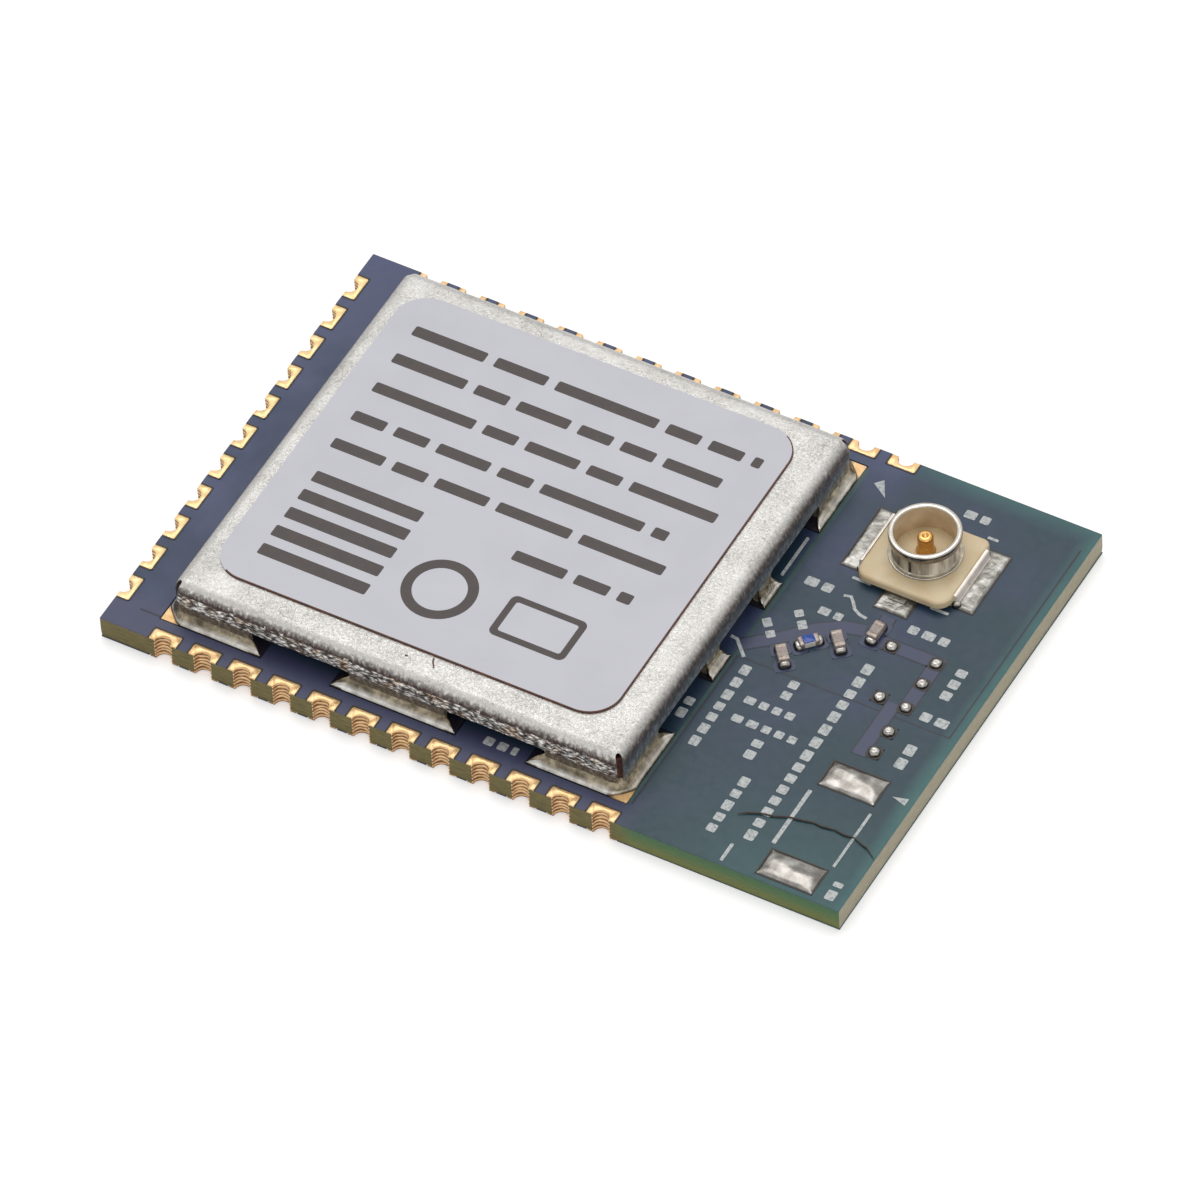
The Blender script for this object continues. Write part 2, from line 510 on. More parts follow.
# the narrow gap in the copper beside a track, where the mask lies deep
mask_in_gap = mottled("mask_in_gap", [(0.3, "#0b1120"), (0.7, "#12192b")], 0.5, (0.35, 0.45))
# the butt seam of the drawn ring, tarnished
seam_shadow = mottled("tarnished_seam", [(0.3, "#2b2723"), (0.7, "#4a443d")], 0.1, (0.3, 0.4), Metallic=0.6)
# dried flux in the can's seams: red-brown and glossy
seam_brown = mottled("dried_flux", [(0.3, "#3a1d17"), (0.7, "#5c352a")], 0.12, (0.25, 0.4))
# the mask's edge round a land, dark brown with flux
land_rim = mottled("land_rim", [(0.3, "#1d1713"), (0.7, "#352b22")], 0.3, (0.4, 0.55))
# bare laminate and flux round a soldered pad
flux_stain = mottled("flux_stain", [(0.3, "#221c17"), (0.7, "#41392a")], 0.15, (0.3, 0.45))
# epoxy moulding compound: black and dull
moulding_black = mottled("moulding_compound", [(0.3, "#1b1b1d"), (0.7, "#26262a")], 0.3, (0.55, 0.65),
                         0.004, 0.06)
# sintered ferrite: dark brown-grey, with fine pores
ferrite = mottled("ferrite", [(0.3, "#33302d"), (0.7, "#45413c")], 0.15, (0.5, 0.6), 0.005, 0.08)
# unglazed filter ceramic: tan and matte
filter_ceramic = mottled("filter_ceramic", [(0.3, "#b9a17c"), (0.7, "#cbb48e")], 0.2, (0.5, 0.6))
# a stray textile fibre: dark brown and dull
fibre_dust = mottled("dark_fibre", [(0.3, "#2c2420"), (0.7, "#4a3c33")], 0.2, (0.6, 0.7))

# ---------------------------------------------------------------- mesh helpers


def solid(name, points, faces):
    """An object over a closed mesh of points in mm, its doubles merged and its faces turned outwards."""
    mesh = bpy.data.meshes.new(name)
    mesh.from_pydata([(x * MM, y * MM, z * MM) for x, y, z in points], [], faces)
    shape = bmesh.new()
    shape.from_mesh(mesh)
    bmesh.ops.remove_doubles(shape, verts=shape.verts, dist=1e-7)
    bmesh.ops.recalc_face_normals(shape, faces=shape.faces)
    shape.to_mesh(mesh)
    shape.free()
    made = bpy.data.objects.new(name, mesh)
    bpy.context.collection.objects.link(made)
    return made


def piece(name, points, faces, finishes, slot, *replaced, pick=None, angle=35):
    """A finished piece from points in mm; it is shaded smooth up to an angle and rides on the board."""
    settle(solid(name, points, faces), finishes, replaced, pick, angle)


def settle(made, finishes, replaced=(), pick=None, angle=35):
    """Gives a finished object its materials, shading, body and slot.

    Where there are several finishes, pick says which one a face takes, by its middle and its normal.
    """
    mesh = made.data
    mesh.materials.clear()
    for each in finishes:
        mesh.materials.append(each)
    if pick:
        for face in mesh.polygons:
            face.material_index = pick(face.center / MM, face.normal)
    mesh.polygons.foreach_set("use_smooth", [True] * len(mesh.polygons))
    mesh.set_sharp_from_angle(angle=math.radians(angle))
    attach(made, "root")
    if replaced:
        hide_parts(*replaced)


def grid(columns, rows, closed=False):
    """Quads of a grid of points stored row by row; closed joins the last column to the first."""
    faces = []
    for row in range(rows - 1):
        for column in range(columns if closed else columns - 1):
            a = row * columns + column
            b = row * columns + (column + 1) % columns
            faces.append((a, b, b + columns, a + columns))
    return faces


def tube_of_loops(loops):
    """Points and faces of a skin over equal closed loops, capped at both ends."""
    points = [point for loop in loops for point in loop]
    columns = len(loops[0])
    faces = grid(columns, len(loops), closed=True)
    faces += [tuple(range(columns)), tuple(range(len(points) - columns, len(points)))]
    return points, faces


def block_under(top, columns, rows, low):
    """Points and faces of a closed block: a grid of top points over a flat underside at low."""
    count = len(top)
    points = top + [(x, y, low) for x, y, _ in top]
    faces = grid(columns, rows)
    faces += [tuple(reversed([count + i for i in face])) for face in faces]
    rim = list(range(columns)) + [row * columns + columns - 1 for row in range(1, rows)]
    rim += [(rows - 1) * columns + column for column in reversed(range(columns - 1))]
    rim += [row * columns for row in reversed(range(1, rows - 1))]
    faces += [(a, b, count + b, count + a) for a, b in zip(rim, rim[1:] + rim[:1])]
    return points, faces


def merged(parts):
    """Joins several (points, faces) into one."""
    points, faces = [], []
    for more_points, more_faces in parts:
        start = len(points)
        points += more_points
        faces += [tuple(start + i for i in face) for face in more_faces]
    return points, faces


def turned(x, y, turn, at):
    """A place in plan, turned about the origin and then moved."""
    c, s = math.cos(turn), math.sin(turn)
    return at[0] + x * c - y * s, at[1] + x * s + y * c


def placed(part, turn, x, y, lift=None):
    """Turns a part about Z, moves it in plan and lifts it, on to the board where no lift is given."""
    points, faces = part
    lift = BOARD_TOP if lift is None else lift
    return [(*turned(px, py, turn, (x, y)), lift + pz) for px, py, pz in points], faces


def prism(outline, low, high, edge=0.0):
    """A flat plate over an outline; edge bevels its upper rim."""
    loops = [[(x, y, low) for x, y in outline], [(x, y, high - edge) for x, y in outline]]
    if edge:
        loops.append([(x, y, high) for x, y in inset(outline, edge)])
    return tube_of_loops(loops)


def inset(outline, amount):
    """The outline drawn in by an amount, for outlines without tight corners."""
    made = []
    count = len(outline)
    for i, (x, y) in enumerate(outline):
        (ax, ay), (bx, by) = outline[i - 1], outline[(i + 1) % count]
        one = Vector((y - ay, ax - x)).normalized() if (x, y) != (ax, ay) else Vector((0, 0))
        two = Vector((by - y, x - bx)).normalized() if (x, y) != (bx, by) else Vector((0, 0))
        out = one + two
        scale = amount / max(0.35, out.length / 2) if out.length else 0
        out = out.normalized() * scale if out.length else out
        made.append((x - out.x, y - out.y))
    return made


def rounded(l, w, r, steps=6, centre=(0, 0), turn=0.0):
    """Outline of a rounded rectangle, anticlockwise."""
    outline = []
    for quarter, (sx, sy) in enumerate(((1, 1), (-1, 1), (-1, -1), (1, -1))):
        for step in range(steps + 1):
            a = math.pi / 2 * (quarter + step / steps)
            outline.append((sx * (l / 2 - r) + r * math.cos(a), sy * (w / 2 - r) + r * math.sin(a)))
    return [turned(x, y, turn, centre) for x, y in outline]


def stroke(line, width):
    """Outline of a line drawn with a flat pen of some width."""
    left, right = [], []
    for i, point in enumerate(line):
        before, after = line[max(0, i - 1)], line[min(len(line) - 1, i + 1)]
        along = (Vector(after) - Vector(before)).normalized()
        side = Vector((-along.y, along.x)) * width / 2
        left.append((point[0] + side.x, point[1] + side.y))
        right.append((point[0] - side.x, point[1] - side.y))
    return right + left[::-1]


def revolve(profile, centre, segments=96):
    """A profile of (radius, height) turned about an upright axis; off the axis at both ends, it closes."""
    points = []
    for r, z in profile:
        for i in range(segments):
            a = 2 * math.pi * i / segments
            points.append((centre[0] + r * math.cos(a), centre[1] + r * math.sin(a), centre[2] + z))
    faces = grid(segments, len(profile), closed=True)
    last = (len(profile) - 1) * segments
    if profile[0][0] > 0 and profile[-1][0] > 0:
        faces += [(last + i, last + (i + 1) % segments, (i + 1) % segments, i) for i in range(segments)]
    return points, faces


def arc(centre, radius, start, end, steps=8):
    """Points along an arc, in degrees."""
    made = []
    for i in range(steps + 1):
        a = math.radians(start + (end - start) * i / steps)
        made.append((centre[0] + radius * math.cos(a), centre[1] + radius * math.sin(a)))
    return made


def make_plain(made):
    """Turns what an object's modifiers give into its own plain mesh."""
    graph = bpy.context.evaluated_depsgraph_get()
    result = bpy.data.meshes.new_from_object(made.evaluated_get(graph), depsgraph=graph)
    made.modifiers.clear()
    made.data = result


def cut(made, cutters):
    """Takes closed cutters away from a closed piece and deletes them."""
    for cutter in cutters:
        step = made.modifiers.new("cut", "BOOLEAN")
        step.operation, step.solver, step.object = "DIFFERENCE", "EXACT", cutter
    make_plain(made)
    for cutter in cutters:
        bpy.data.objects.remove(cutter)


def wander(x, y, z, size):
    """Smooth noise from -1 to 1 with features size mm across."""
    return noise.noise(Vector((x, y, z)) / size)


# ---------------------------------------------------------------- board


def board_outline():
    """The board's outline with its castellations, anticlockwise from the near left corner."""
    outline = [(LEFT, NEAR)]
    for i in range(NEAR_CONTACTS):
        outline += arc((ROW_START + i * CONTACT_PITCH, NEAR), NOTCH_R, 180, 0, 16)
    outline += [(RIGHT, NEAR), (RIGHT, FAR)]
    for i in reversed(range(FAR_CONTACTS)):
        outline += arc((ROW_START + i * CONTACT_PITCH, FAR), NOTCH_R, 0, -180, 16)
    outline.append((LEFT, FAR))
    for i in reversed(range(END_CONTACTS)):
        outline += arc((LEFT, END_START + i * CONTACT_PITCH), NOTCH_R, 90, -90, 16)
    return outline


def make_board():
    """The laminate: its lower edge is a little ragged between the castellations."""
    outline = board_outline()
    loops = []
    levels = 8
    for level in range(levels + 1):
        z = FILM_T + (BOARD_TOP - 2 * FILM_T) * level / levels
        ragged = RAGGED_EDGE * max(0.0, 1 - level / 3)
        loop = []
        for x, y in outline:
            shift = ragged * (0.6 + 0.6 * wander(x, y, z, 0.12))
            loop.append((x - math.copysign(shift, x) * (abs(x) > RIGHT - NOTCH_REACH),
                         y - math.copysign(shift, y) * (abs(y) > FAR - NOTCH_REACH), z))
        loops.append(loop)
    piece("milled_board", *tube_of_loops(loops), [laminate], "laminate", "board_laminate")


def contact_outline(depth):
    """A contact's land in its own place: the board's edge is the X axis, the board is at +Y."""
    half = CONTACT_W / 2
    outline = [(-half, 0)] + arc((0, 0), NOTCH_R - PLATING_T, 180, 0, 20) + [(half, 0)]
    outline += arc((half - LAND_CORNER_R, depth - LAND_CORNER_R), LAND_CORNER_R, 0, 90, 4)
    outline += arc((LAND_CORNER_R - half, depth - LAND_CORNER_R), LAND_CORNER_R, 90, 180, 4)
    return outline


def contact_solid():
    """Two lands joined by a plated half hole, whose wall is ribbed by the drill."""
    lands = [prism(contact_outline(TOP_LAND_D), BOARD_TOP - FILM_T, BOARD_TOP + LAND_RISE, 0.012),
             prism(contact_outline(UNDER_LAND_D), 0, FILM_T)]
    # the ribs wind a little round the half hole, are deepest in its middle and are broken by lumps
    columns, rows, ribs = 20, 57, 7
    rib_depth, lump_height = 0.03, 0.012
    loops = []
    for row in range(rows):
        z = FILM_T + (BOARD_TOP - 2 * FILM_T) * row / (rows - 1)
        inner, outer = [], []
        for column in range(columns + 1):
            a = math.pi * column / columns
            turn = ribs * row / rows + 0.2 * math.sin(2.2 * a)
            groove = abs(math.sin(math.pi * turn)) ** 0.6
            lumps = wander(math.cos(a), math.sin(a), z * 2, 0.35)
            ribbed = 0.35 + 0.65 * math.sin(a) ** 2
            r = NOTCH_R - PLATING_T - rib_depth * ribbed * groove + lump_height + lump_height * lumps
            inner.append((r * math.cos(a), r * math.sin(a), z))
            outer.append((NOTCH_R * math.cos(a), NOTCH_R * math.sin(a), z))
        loops.append(inner + outer[::-1])
    return merged(lands + [tube_of_loops(loops)])


def row_tree():
    """Geometry nodes: repeats a contact along its row and roughens each one differently."""
    tree = bpy.data.node_groups.new("contact_row", "GeometryNodeTree")
    for name, kind in (("Contact", "NodeSocketGeometry"), ("Count", "NodeSocketInt"),
                       ("Step", "NodeSocketVector"), ("Roughness", "NodeSocketFloat"),
                       ("Finish", "NodeSocketMaterial")):
        tree.interface.new_socket(name, in_out="INPUT", socket_type=kind)
    tree.interface.new_socket("Row", in_out="OUTPUT", socket_type="NodeSocketGeometry")
    given = add(tree, "NodeGroupInput").outputs
    line = add(tree, "GeometryNodeMeshLine", {"Count": given["Count"], "Offset": given["Step"]})
    copies = add(tree, "GeometryNodeInstanceOnPoints", {"Points": line, "Instance": given["Contact"]})
    whole = add(tree, "GeometryNodeRealizeInstances", {"Geometry": copies})
    lumps = add(tree, NOISE, {"Scale": per_mm(0.22), "Detail": 2.0}).outputs["Color"]
    centred = add(tree, VECTOR_MATH, {0: lumps, 1: (0.5, 0.5, 0.5)}, operation="SUBTRACT")
    shift = add(tree, VECTOR_MATH, {0: centred, "Scale": given["Roughness"]}, operation="SCALE")
    moved = add(tree, "GeometryNodeSetPosition", {"Geometry": whole, "Offset": shift})
    dressed = add(tree, "GeometryNodeSetMaterial", {"Geometry": moved, "Material": given["Finish"]})
    add(tree, "NodeGroupOutput", {"Row": dressed})
    return tree


def make_contact_row(name, node, start, turn, count, step, tree, gold):
    """One row of contacts from the shared tree: its first one is turned and moved, then repeated."""
    made = solid(name, *contact_solid())
    made.data.transform(Matrix.Translation(Vector(start) * MM) @ Matrix.Rotation(math.radians(turn), 4, "Z"))
    work = made.modifiers.new("row", "NODES")
    work.node_group = tree
    keys = {item.name: item.identifier for item in tree.interface.items_tree if item.in_out == "INPUT"}
    work[keys["Count"]] = count
    work[keys["Step"]] = [part * MM for part in step]
    work[keys["Roughness"]] = LUMP_REACH * MM
    work[keys["Finish"]] = gold
    make_plain(made)
    settle(made, [gold], (node,), angle=50)


make_board()
row = row_tree()
make_contact_row("near_contacts", "near_contact_row", (ROW_START, NEAR, 0), 0, NEAR_CONTACTS,
                 (CONTACT_PITCH, 0, 0), row, immersion_gold)
make_contact_row("far_contacts", "far_contact_row", (ROW_START, FAR, 0), 180, FAR_CONTACTS,
                 (CONTACT_PITCH, 0, 0), row, immersion_gold)
make_contact_row("end_contacts", "end_contact_row", (LEFT, END_START, 0), -90, END_CONTACTS,
                 (0, CONTACT_PITCH, 0), row, pale_gold)

# ---------------------------------------------------------------- shield


def can_loop(shrink):
    """Points round the can's wall with their outward directions, anticlockwise, drawn in by shrink."""
    l, w, r = CAN_L - 2 * shrink, CAN_W - 2 * shrink, BEND_R - shrink
    made = []
    sides = ((1, 0, w, (l / 2, 0)), (0, 1, l, (0, w / 2)), (-1, 0, w, (-l / 2, 0)), (0, -1, l, (0, -w / 2)))
    for quarter, (nx, ny, length, (mx, my)) in enumerate(sides):
        run = length - 2 * r
        # the long walls carry the torn band, so they have finer steps
        steps = round(run / (0.045 if ny else 0.15))
        for i in range(steps + 1):
            t = run * (i / steps - 0.5)
            made.append((mx - ny * t, my + nx * t, nx, ny))
        cx, cy = (nx - ny) * (l / 2 - r), (ny + nx) * (w / 2 - r)
        for i in range(1, 8):
            a = math.pi / 2 * (quarter + i / 8)
            made.append((cx + r * math.cos(a), cy + r * math.sin(a), math.cos(a), math.sin(a)))
    return made


def can_shell(shrink, height, foot, crimped):
    """A closed block with the can's outer or inner form; crimped gives it the torn bands."""
    loop = can_loop(shrink)
    r = BEND_R - shrink
    wall_rows, bend_rows = (34, 9) if crimped else (2, 6)
    loops = []
    for i in range(wall_rows):
        z = foot + (height - r - foot) * i / (wall_rows - 1)
        row = []
        for x, y, nx, ny in loop:
            out = crimp(x, z) * abs(ny) if crimped and abs(ny) > 0.5 else 0.0
            row.append((CAN_X + x + nx * out, y + ny * out, BOARD_TOP + z))
        loops.append(row)
    for i in range(1, bend_rows + 1):
        a = math.pi / 2 * i / bend_rows
        back, rise = r * (1 - math.cos(a)), height - r + r * math.sin(a)
        loops.append([(CAN_X + x - nx * back, y - ny * back, BOARD_TOP + rise) for x, y, nx, ny in loop])
    return tube_of_loops(loops)


def crimp(x, z):
    """How far the torn band of a long wall stands out at a place.

    The band bulges, and coarse and fine lumps, longer along the wall than upright, roughen it.
    """
    band = max(0.0, 1 - ((z - BAND_MIDDLE) / BAND_HALF) ** 2) ** 0.7
    sway = z + 0.05 * wander(x, 0, 1.0, 1.1)
    coarse = wander(x, sway * 2.6, 3.0, 0.26)
    fine = wander(x, sway * 2.4, 8.0, 0.11)
    return band * (0.03 + 0.05 * coarse + 0.03 * fine)


def wall_cutter(outline, depth, at, turn):
    """A closed cutter: an upright outline, turned about Z and carried straight through a wall."""
    loops = []
    for v in (-depth / 2, depth / 2):
        loops.append([(*turned(u, v, turn, at), BOARD_TOP + z) for u, z in outline])
    return solid("cutter", *tube_of_loops(loops))


def window(length, at, turn):
    """A window cutter with rounded upper corners."""
    half = length / 2
    outline = [(-half, -CUT_PAST), (half, -CUT_PAST)]
    outline += arc((half - WINDOW_R, WINDOW_H - WINDOW_R), WINDOW_R, 0, 90, 6)
    outline += arc((WINDOW_R - half, WINDOW_H - WINDOW_R), WINDOW_R, 90, 180, 6)
    return wall_cutter(outline, 1.0, at, turn)


def corner_slit(sx, sy):
    """A cutter for the open seam between two walls."""
    half = SLIT_W / 2
    outline = [(-half, -CUT_PAST), (half, -CUT_PAST)] + arc((0, CAN_H - SLIT_TOP - half), half, 0, 180, 10)
    at = (CAN_X + sx * (CAN_L / 2 - 0.1), sy * (CAN_W / 2 - 0.1))
    return wall_cutter(outline, 0.7, at, math.atan2(sy, sx) + math.pi / 2)


def make_can():
    """The folded can with its windows, corner seams and torn long walls."""
    can = solid("folded_can", *can_shell(0.0, CAN_H, 0.0, True))
    cutters = [solid("cutter", *can_shell(SHEET_T, CAN_H - SHEET_T, -0.3, False))]
    for sy in (-1, 1):
        for sx in (-1, 1):
            x = CAN_X + sx * (MID_FOOT_L + LONG_WINDOW_L) / 2
            cutters.append(window(LONG_WINDOW_L, (x, sy * CAN_W / 2), 0))
            cutters.append(corner_slit(sx, sy))
    first = CORNER_FOOT_L + END_WINDOW_L / 2
    middle_l = CAN_W - 2 * (CORNER_FOOT_L + END_WINDOW_L + SMALL_FOOT_L)
    for sx in (-1, 1):
        x = CAN_X + sx * CAN_L / 2
        for y, length in ((first - CAN_W / 2, END_WINDOW_L), (0, middle_l),
                          (CAN_W / 2 - first, END_WINDOW_L)):
            cutters.append(window(length, (x, y), math.pi / 2))
    cut(can, cutters)

    def torn(middle, normal):
        """1 in a long wall's torn band, whose edges wander, and 0 elsewhere."""
        z = middle.z - BOARD_TOP + 0.07 * wander(middle.x, middle.z - BOARD_TOP, 5.0, 0.25)
        outside = abs(middle.y) > CAN_W / 2 - 0.12
        between_bends = abs(middle.x - CAN_X) < CAN_L / 2 - 0.2
        return int(outside and between_bends and BAND_LOW < z < BAND_HIGH)

    settle(can, [tinned_steel, crimped_steel], ("shield_can",), torn, 40)


def fillet_height(t, rise, power, rim):
    """A hollow fillet's height at a share of its width: it falls from the wall and ends in a raised rim."""
    return rise * (1 - t) ** power + rim * min(1, 2.2 * t, 9.4 - 9 * t)


def fillet_strip(length, before, after, seed, bulge):
    """Solder along a foot: the wall is the X axis and outside is -Y.

    It runs on past the foot in pointed tips, before and after it. A negative length there stops it
    short. A bulge of 0 gives a hollow fillet with a thin rim, and 1 a fuller one.
    """
    # how far out the solder goes, about how high it stands, and how far it reaches behind the wall's face
    width, height, reach = LAND_OUT, 0.26, 0.08
    steps = max(12, round((length + before + after) / 0.06))
    loops = []
    for i in range(steps + 1):
        u = -before + (length + before + after) * i / steps
        past = max(-u / before if before and u < 0 else 0,
                   (u - length) / after if after and u > length else 0)
        past = min(past, 0.98)
        # the fillet is higher in some places than in others, and its rim is not quite straight
        swell = 1 + 0.25 * wander(u, seed, 0, 1.1) + 0.06 * wander(u, seed, 5, 0.5)
        rise = (height * swell - 0.1) * (1 - past) ** 1.6 + 0.1 * (1 - past**4) + 0.03
        rim = -width * (1 - 0.04 * abs(wander(u, seed, 9, 0.3)))
        # beside a tip there is no wall, so the tip's inner edge draws out towards its rim
        inner = max(-width * past**2 if past else reach, rim + 0.012)
        row = [(u, inner, 0.0), (u, inner, rise + 0.1 * (1 - past))]
        wall = min(inner, 0.0)
        for k in range(1, FILLET_ROWS + 1):
            t = k / FILLET_ROWS
            z = fillet_height(t, rise, 2.2 - 1.1 * bulge, 0.045 + 0.04 * bulge)
            row.append((u, wall + (rim - wall) * t, max(z, 0.004)))
        row.append((u, rim, 0.0))
        loops.append(row)
    return tube_of_loops(loops)


def corner_fillet(sx, sy):
    """Solder round a corner, hollowed halfway so that the land's corner stays bare."""
    cx, cy = CAN_X + sx * (CAN_L / 2 - BEND_R), sy * (CAN_W / 2 - BEND_R)
    steps = 12
    loops = []
    for i in range(steps + 1):
        a = math.atan2(sy, sx) - math.pi / 4 + math.pi / 2 * i / steps
        width = LAND_OUT * (1 - 0.34 * math.sin(math.pi * i / steps) ** 1.5)
        row = [(BEND_R - 0.08, 0), (BEND_R - 0.08, 0.4)]
        for k in range(1, FILLET_ROWS + 1):
            t = k / FILLET_ROWS
            row.append((BEND_R + width * t, fillet_height(t, 0.3, 1.9, 0.05)))
        row.append((BEND_R + width, 0))
        loops.append([(cx + r * math.cos(a), cy + r * math.sin(a), BOARD_TOP + z) for r, z in row])
    return tube_of_loops(loops)


def make_fillets():
    """Reflowed solder at every foot of the can and round its corners."""
    parts = []
    end_foot_l = (CAN_L - 2 * LONG_WINDOW_L - MID_FOOT_L) / 2
    # at a corner the strip stops where the bend begins
    corner = -BEND_R
    long_feet = [(0, end_foot_l, corner, LAND_OVER),
                 (end_foot_l + LONG_WINDOW_L, MID_FOOT_L, LAND_OVER, LAND_OVER),
                 (CAN_L - end_foot_l, end_foot_l, LAND_OVER, corner)]
    small_at = CORNER_FOOT_L + END_WINDOW_L
    end_feet = [(0, CORNER_FOOT_L, corner, LAND_OVER),
                (small_at, SMALL_FOOT_L, SMALL_LAND_OVER, SMALL_LAND_OVER),
                (CAN_W - small_at - SMALL_FOOT_L, SMALL_FOOT_L, SMALL_LAND_OVER, SMALL_LAND_OVER),
                (CAN_W - CORNER_FOOT_L, CORNER_FOOT_L, LAND_OVER, corner)]
    seed = 0
    for turn in (0, math.pi):
        c = math.cos(turn)
        for start, length, before, after in long_feet:
            seed += 3.7
            parts.append(placed(fillet_strip(length, before, after, seed, 0), turn,
                                CAN_X + c * (start - CAN_L / 2), -c * CAN_W / 2))
        for start, length, before, after in end_feet:
            seed += 3.7
            parts.append(placed(fillet_strip(length, before, after, seed, 0.35), turn + math.pi / 2,
                                CAN_X + c * CAN_L / 2, c * (start - CAN_W / 2)))
    for sx in (-1, 1):
        for sy in (-1, 1):
            parts.append(corner_fillet(sx, sy))
    piece("can_solder_fillets", *merged(parts), [solder], "solder", "shield_solder", angle=45)


def make_seam_flux():
    """Dried flux that stands in the can's four open corner seams."""
    set_back, flux_l, flux_w, below_top = 0.21, 0.24, 0.1, 0.2
    parts = []
    for sx in (-1, 1):
        for sy in (-1, 1):
            cx, cy = CAN_X + sx * (CAN_L / 2 - set_back), sy * (CAN_W / 2 - set_back)
            outline = rounded(flux_l, flux_w, 0.03, 3, (cx, cy), math.atan2(sy, sx) + math.pi / 2)
            parts.append(prism(outline, BOARD_TOP, BOARD_TOP + CAN_H - below_top))
    piece("seam_flux", *merged(parts), [seam_brown], "solder")


make_can()
make_fillets()
make_seam_flux()

# ---------------------------------------------------------------- label


def make_label():
    """The film, scorched by the laser along its near and right sides."""
    outline = rounded(LABEL_L, LABEL_W, LABEL_R, 16, LABEL_CENTRE.xy, LABEL_TURN)
    points, faces = prism(outline, BOARD_TOP + CAN_H, LABEL_TOP)
    # the top face is drawn in, which leaves a narrow scorched band round it
    count, top = len(outline), len(points)
    points += [(x, y, LABEL_TOP) for x, y in inset(outline, SCORCH_W)]
    faces[-1] = tuple(range(top, top + count))
    for i in range(count):
        j = (i + 1) % count
        faces.append((top - count + i, top - count + j, top + j, top + i))

    def scorched(middle, normal):
        """1 for the band and the side along the near and right edges, and 0 elsewhere."""
        out = middle.xy - LABEL_CENTRE.xy
        return 0 if normal.z > 0.5 and out.length < 0.5 or out.x < out.y else 1

    piece("label_film", points, faces, [label_film, burnt_edge], "label_film", "label", pick=scorched,
          angle=20)


def hollow(outer, inner, low, high):
    """A flat ring between two outlines of the same number of points."""
    count = len(outer)
    points = [(x, y, z) for z in (low, high) for outline in (outer, inner) for x, y in outline]
    faces = []
    for i in range(count):
        j = (i + 1) % count
        low_outer, low_inner, high_outer, high_inner = (k * count for k in range(4))
        for a, b in ((low_inner, low_outer), (high_outer, high_inner), (low_outer, high_outer),
                     (high_inner, low_inner)):
            faces.append((a + i, a + j, b + j, b + i))
    return points, faces


def bar_line(start, end, low, height, widths, gap, rng, z_low, z_high):
    """A line of plain solid bars, which only stand for print.

    A bar is half a line high, and the widths are drawn from a few shares of the line's height.
    """
    parts = []
    x = start
    while x < end - 0.3 * height:
        width = min(rng.choice(widths) * height, end - x)
        outline = rounded(width, height * 0.5, 0.08 * height, 3, (x + width / 2, low + height / 2))
        parts.append(prism(outline, z_low, z_high))
        x += width + gap
    return parts


def make_print():
    """Print on the label: rows of plain bars and a few plain shapes in place of words and marks."""
    rng = random.Random(7)
    low, high = LABEL_TOP - 0.01, LABEL_TOP + 0.0025
    # each row's lower side, start and end
    rows = [(4.0, -8.15, 2.55), (2.9, -8.15, 1.9), (1.75, -8.1, 2.4), (0.6, -8.1, 1.55), (-0.5, -8.1, 2.05),
            (-1.8, -1.8, 1.8)]
    parts = []
    for y_low, x_start, x_end in rows:
        parts += bar_line(x_start, x_end, y_low, 0.72, (1.4, 2.2, 3.1, 4.3), 0.3, rng, low, high)
    # a striped field, a ring and a frame fill the lower places
    for i in range(5):
        parts.append(prism(rounded(3.3, 0.4, 0.05, 3, (-6.3, -2.85 + (i - 2) * 0.72)), low, high))
    ring_at, frame_at = (-2.95, -3.4), (0.05, -3.4)
    parts.append(hollow(rounded(2.1, 2.1, 1.049, 12, ring_at), rounded(1.5, 1.5, 0.749, 12, ring_at), low,
                        high))
    parts.append(hollow(rounded(2.3, 1.5, 0.2, 6, frame_at), rounded(1.9, 1.1, 0.08, 6, frame_at), low, high))
    piece("label_print", *merged(parts), [print_ink], "label_film")


def make_stain():
    """A short brown run of flux from the label's near edge, and a spot beside it."""
    low, high = BOARD_TOP + CAN_H - 0.005, BOARD_TOP + CAN_H + 0.002
    run = prism(stroke([(-1.93, -5.52), (-1.88, -5.66), (-1.8, -5.76), (-1.76, -5.84)], 0.05), low, high)
    spot = prism(rounded(0.09, 0.07, 0.03, 4, (-2.62, -5.78)), low, high)
    piece("flux_run", *merged([run, spot]), [seam_brown], "tinned_steel")


make_label()
make_print()
make_stain()

# ---------------------------------------------------------------- aerial socket


def ring_profile():
    """The drawn ring's section: a flared foot, a plain neck and a rolled lip, as (radius, height)."""
    inner, neck, roll = RING_R - RING_WALL, RING_R - LIP_OUT, 0.055
    flange_z, lip_z = INSULATOR_H, RING_H - LIP_H
    profile = [(inner, 0.2), (neck, 0.2), (neck, flange_z - 0.02), (neck + 0.09, flange_z + 0.004)]
    profile += arc((neck + 0.095, flange_z + 0.022), 0.02, -90, 90, 6)[1:]
    profile += [(neck + 0.02, flange_z + 0.046), (neck - 0.01, flange_z + 0.07),
                (neck - 0.02, flange_z + 0.14)]
    profile += [(neck - 0.02, lip_z - 0.1), (neck, lip_z - 0.03), (neck + 0.05, lip_z + 0.015)]
    profile += [(RING_R - 0.01, lip_z + 0.05), (RING_R, lip_z + 0.1)]
    profile += arc((RING_R - roll, RING_H - roll), roll, 0, 90, 7)
    return profile + arc((inner + roll, RING_H - roll), roll, 90, 180, 7)


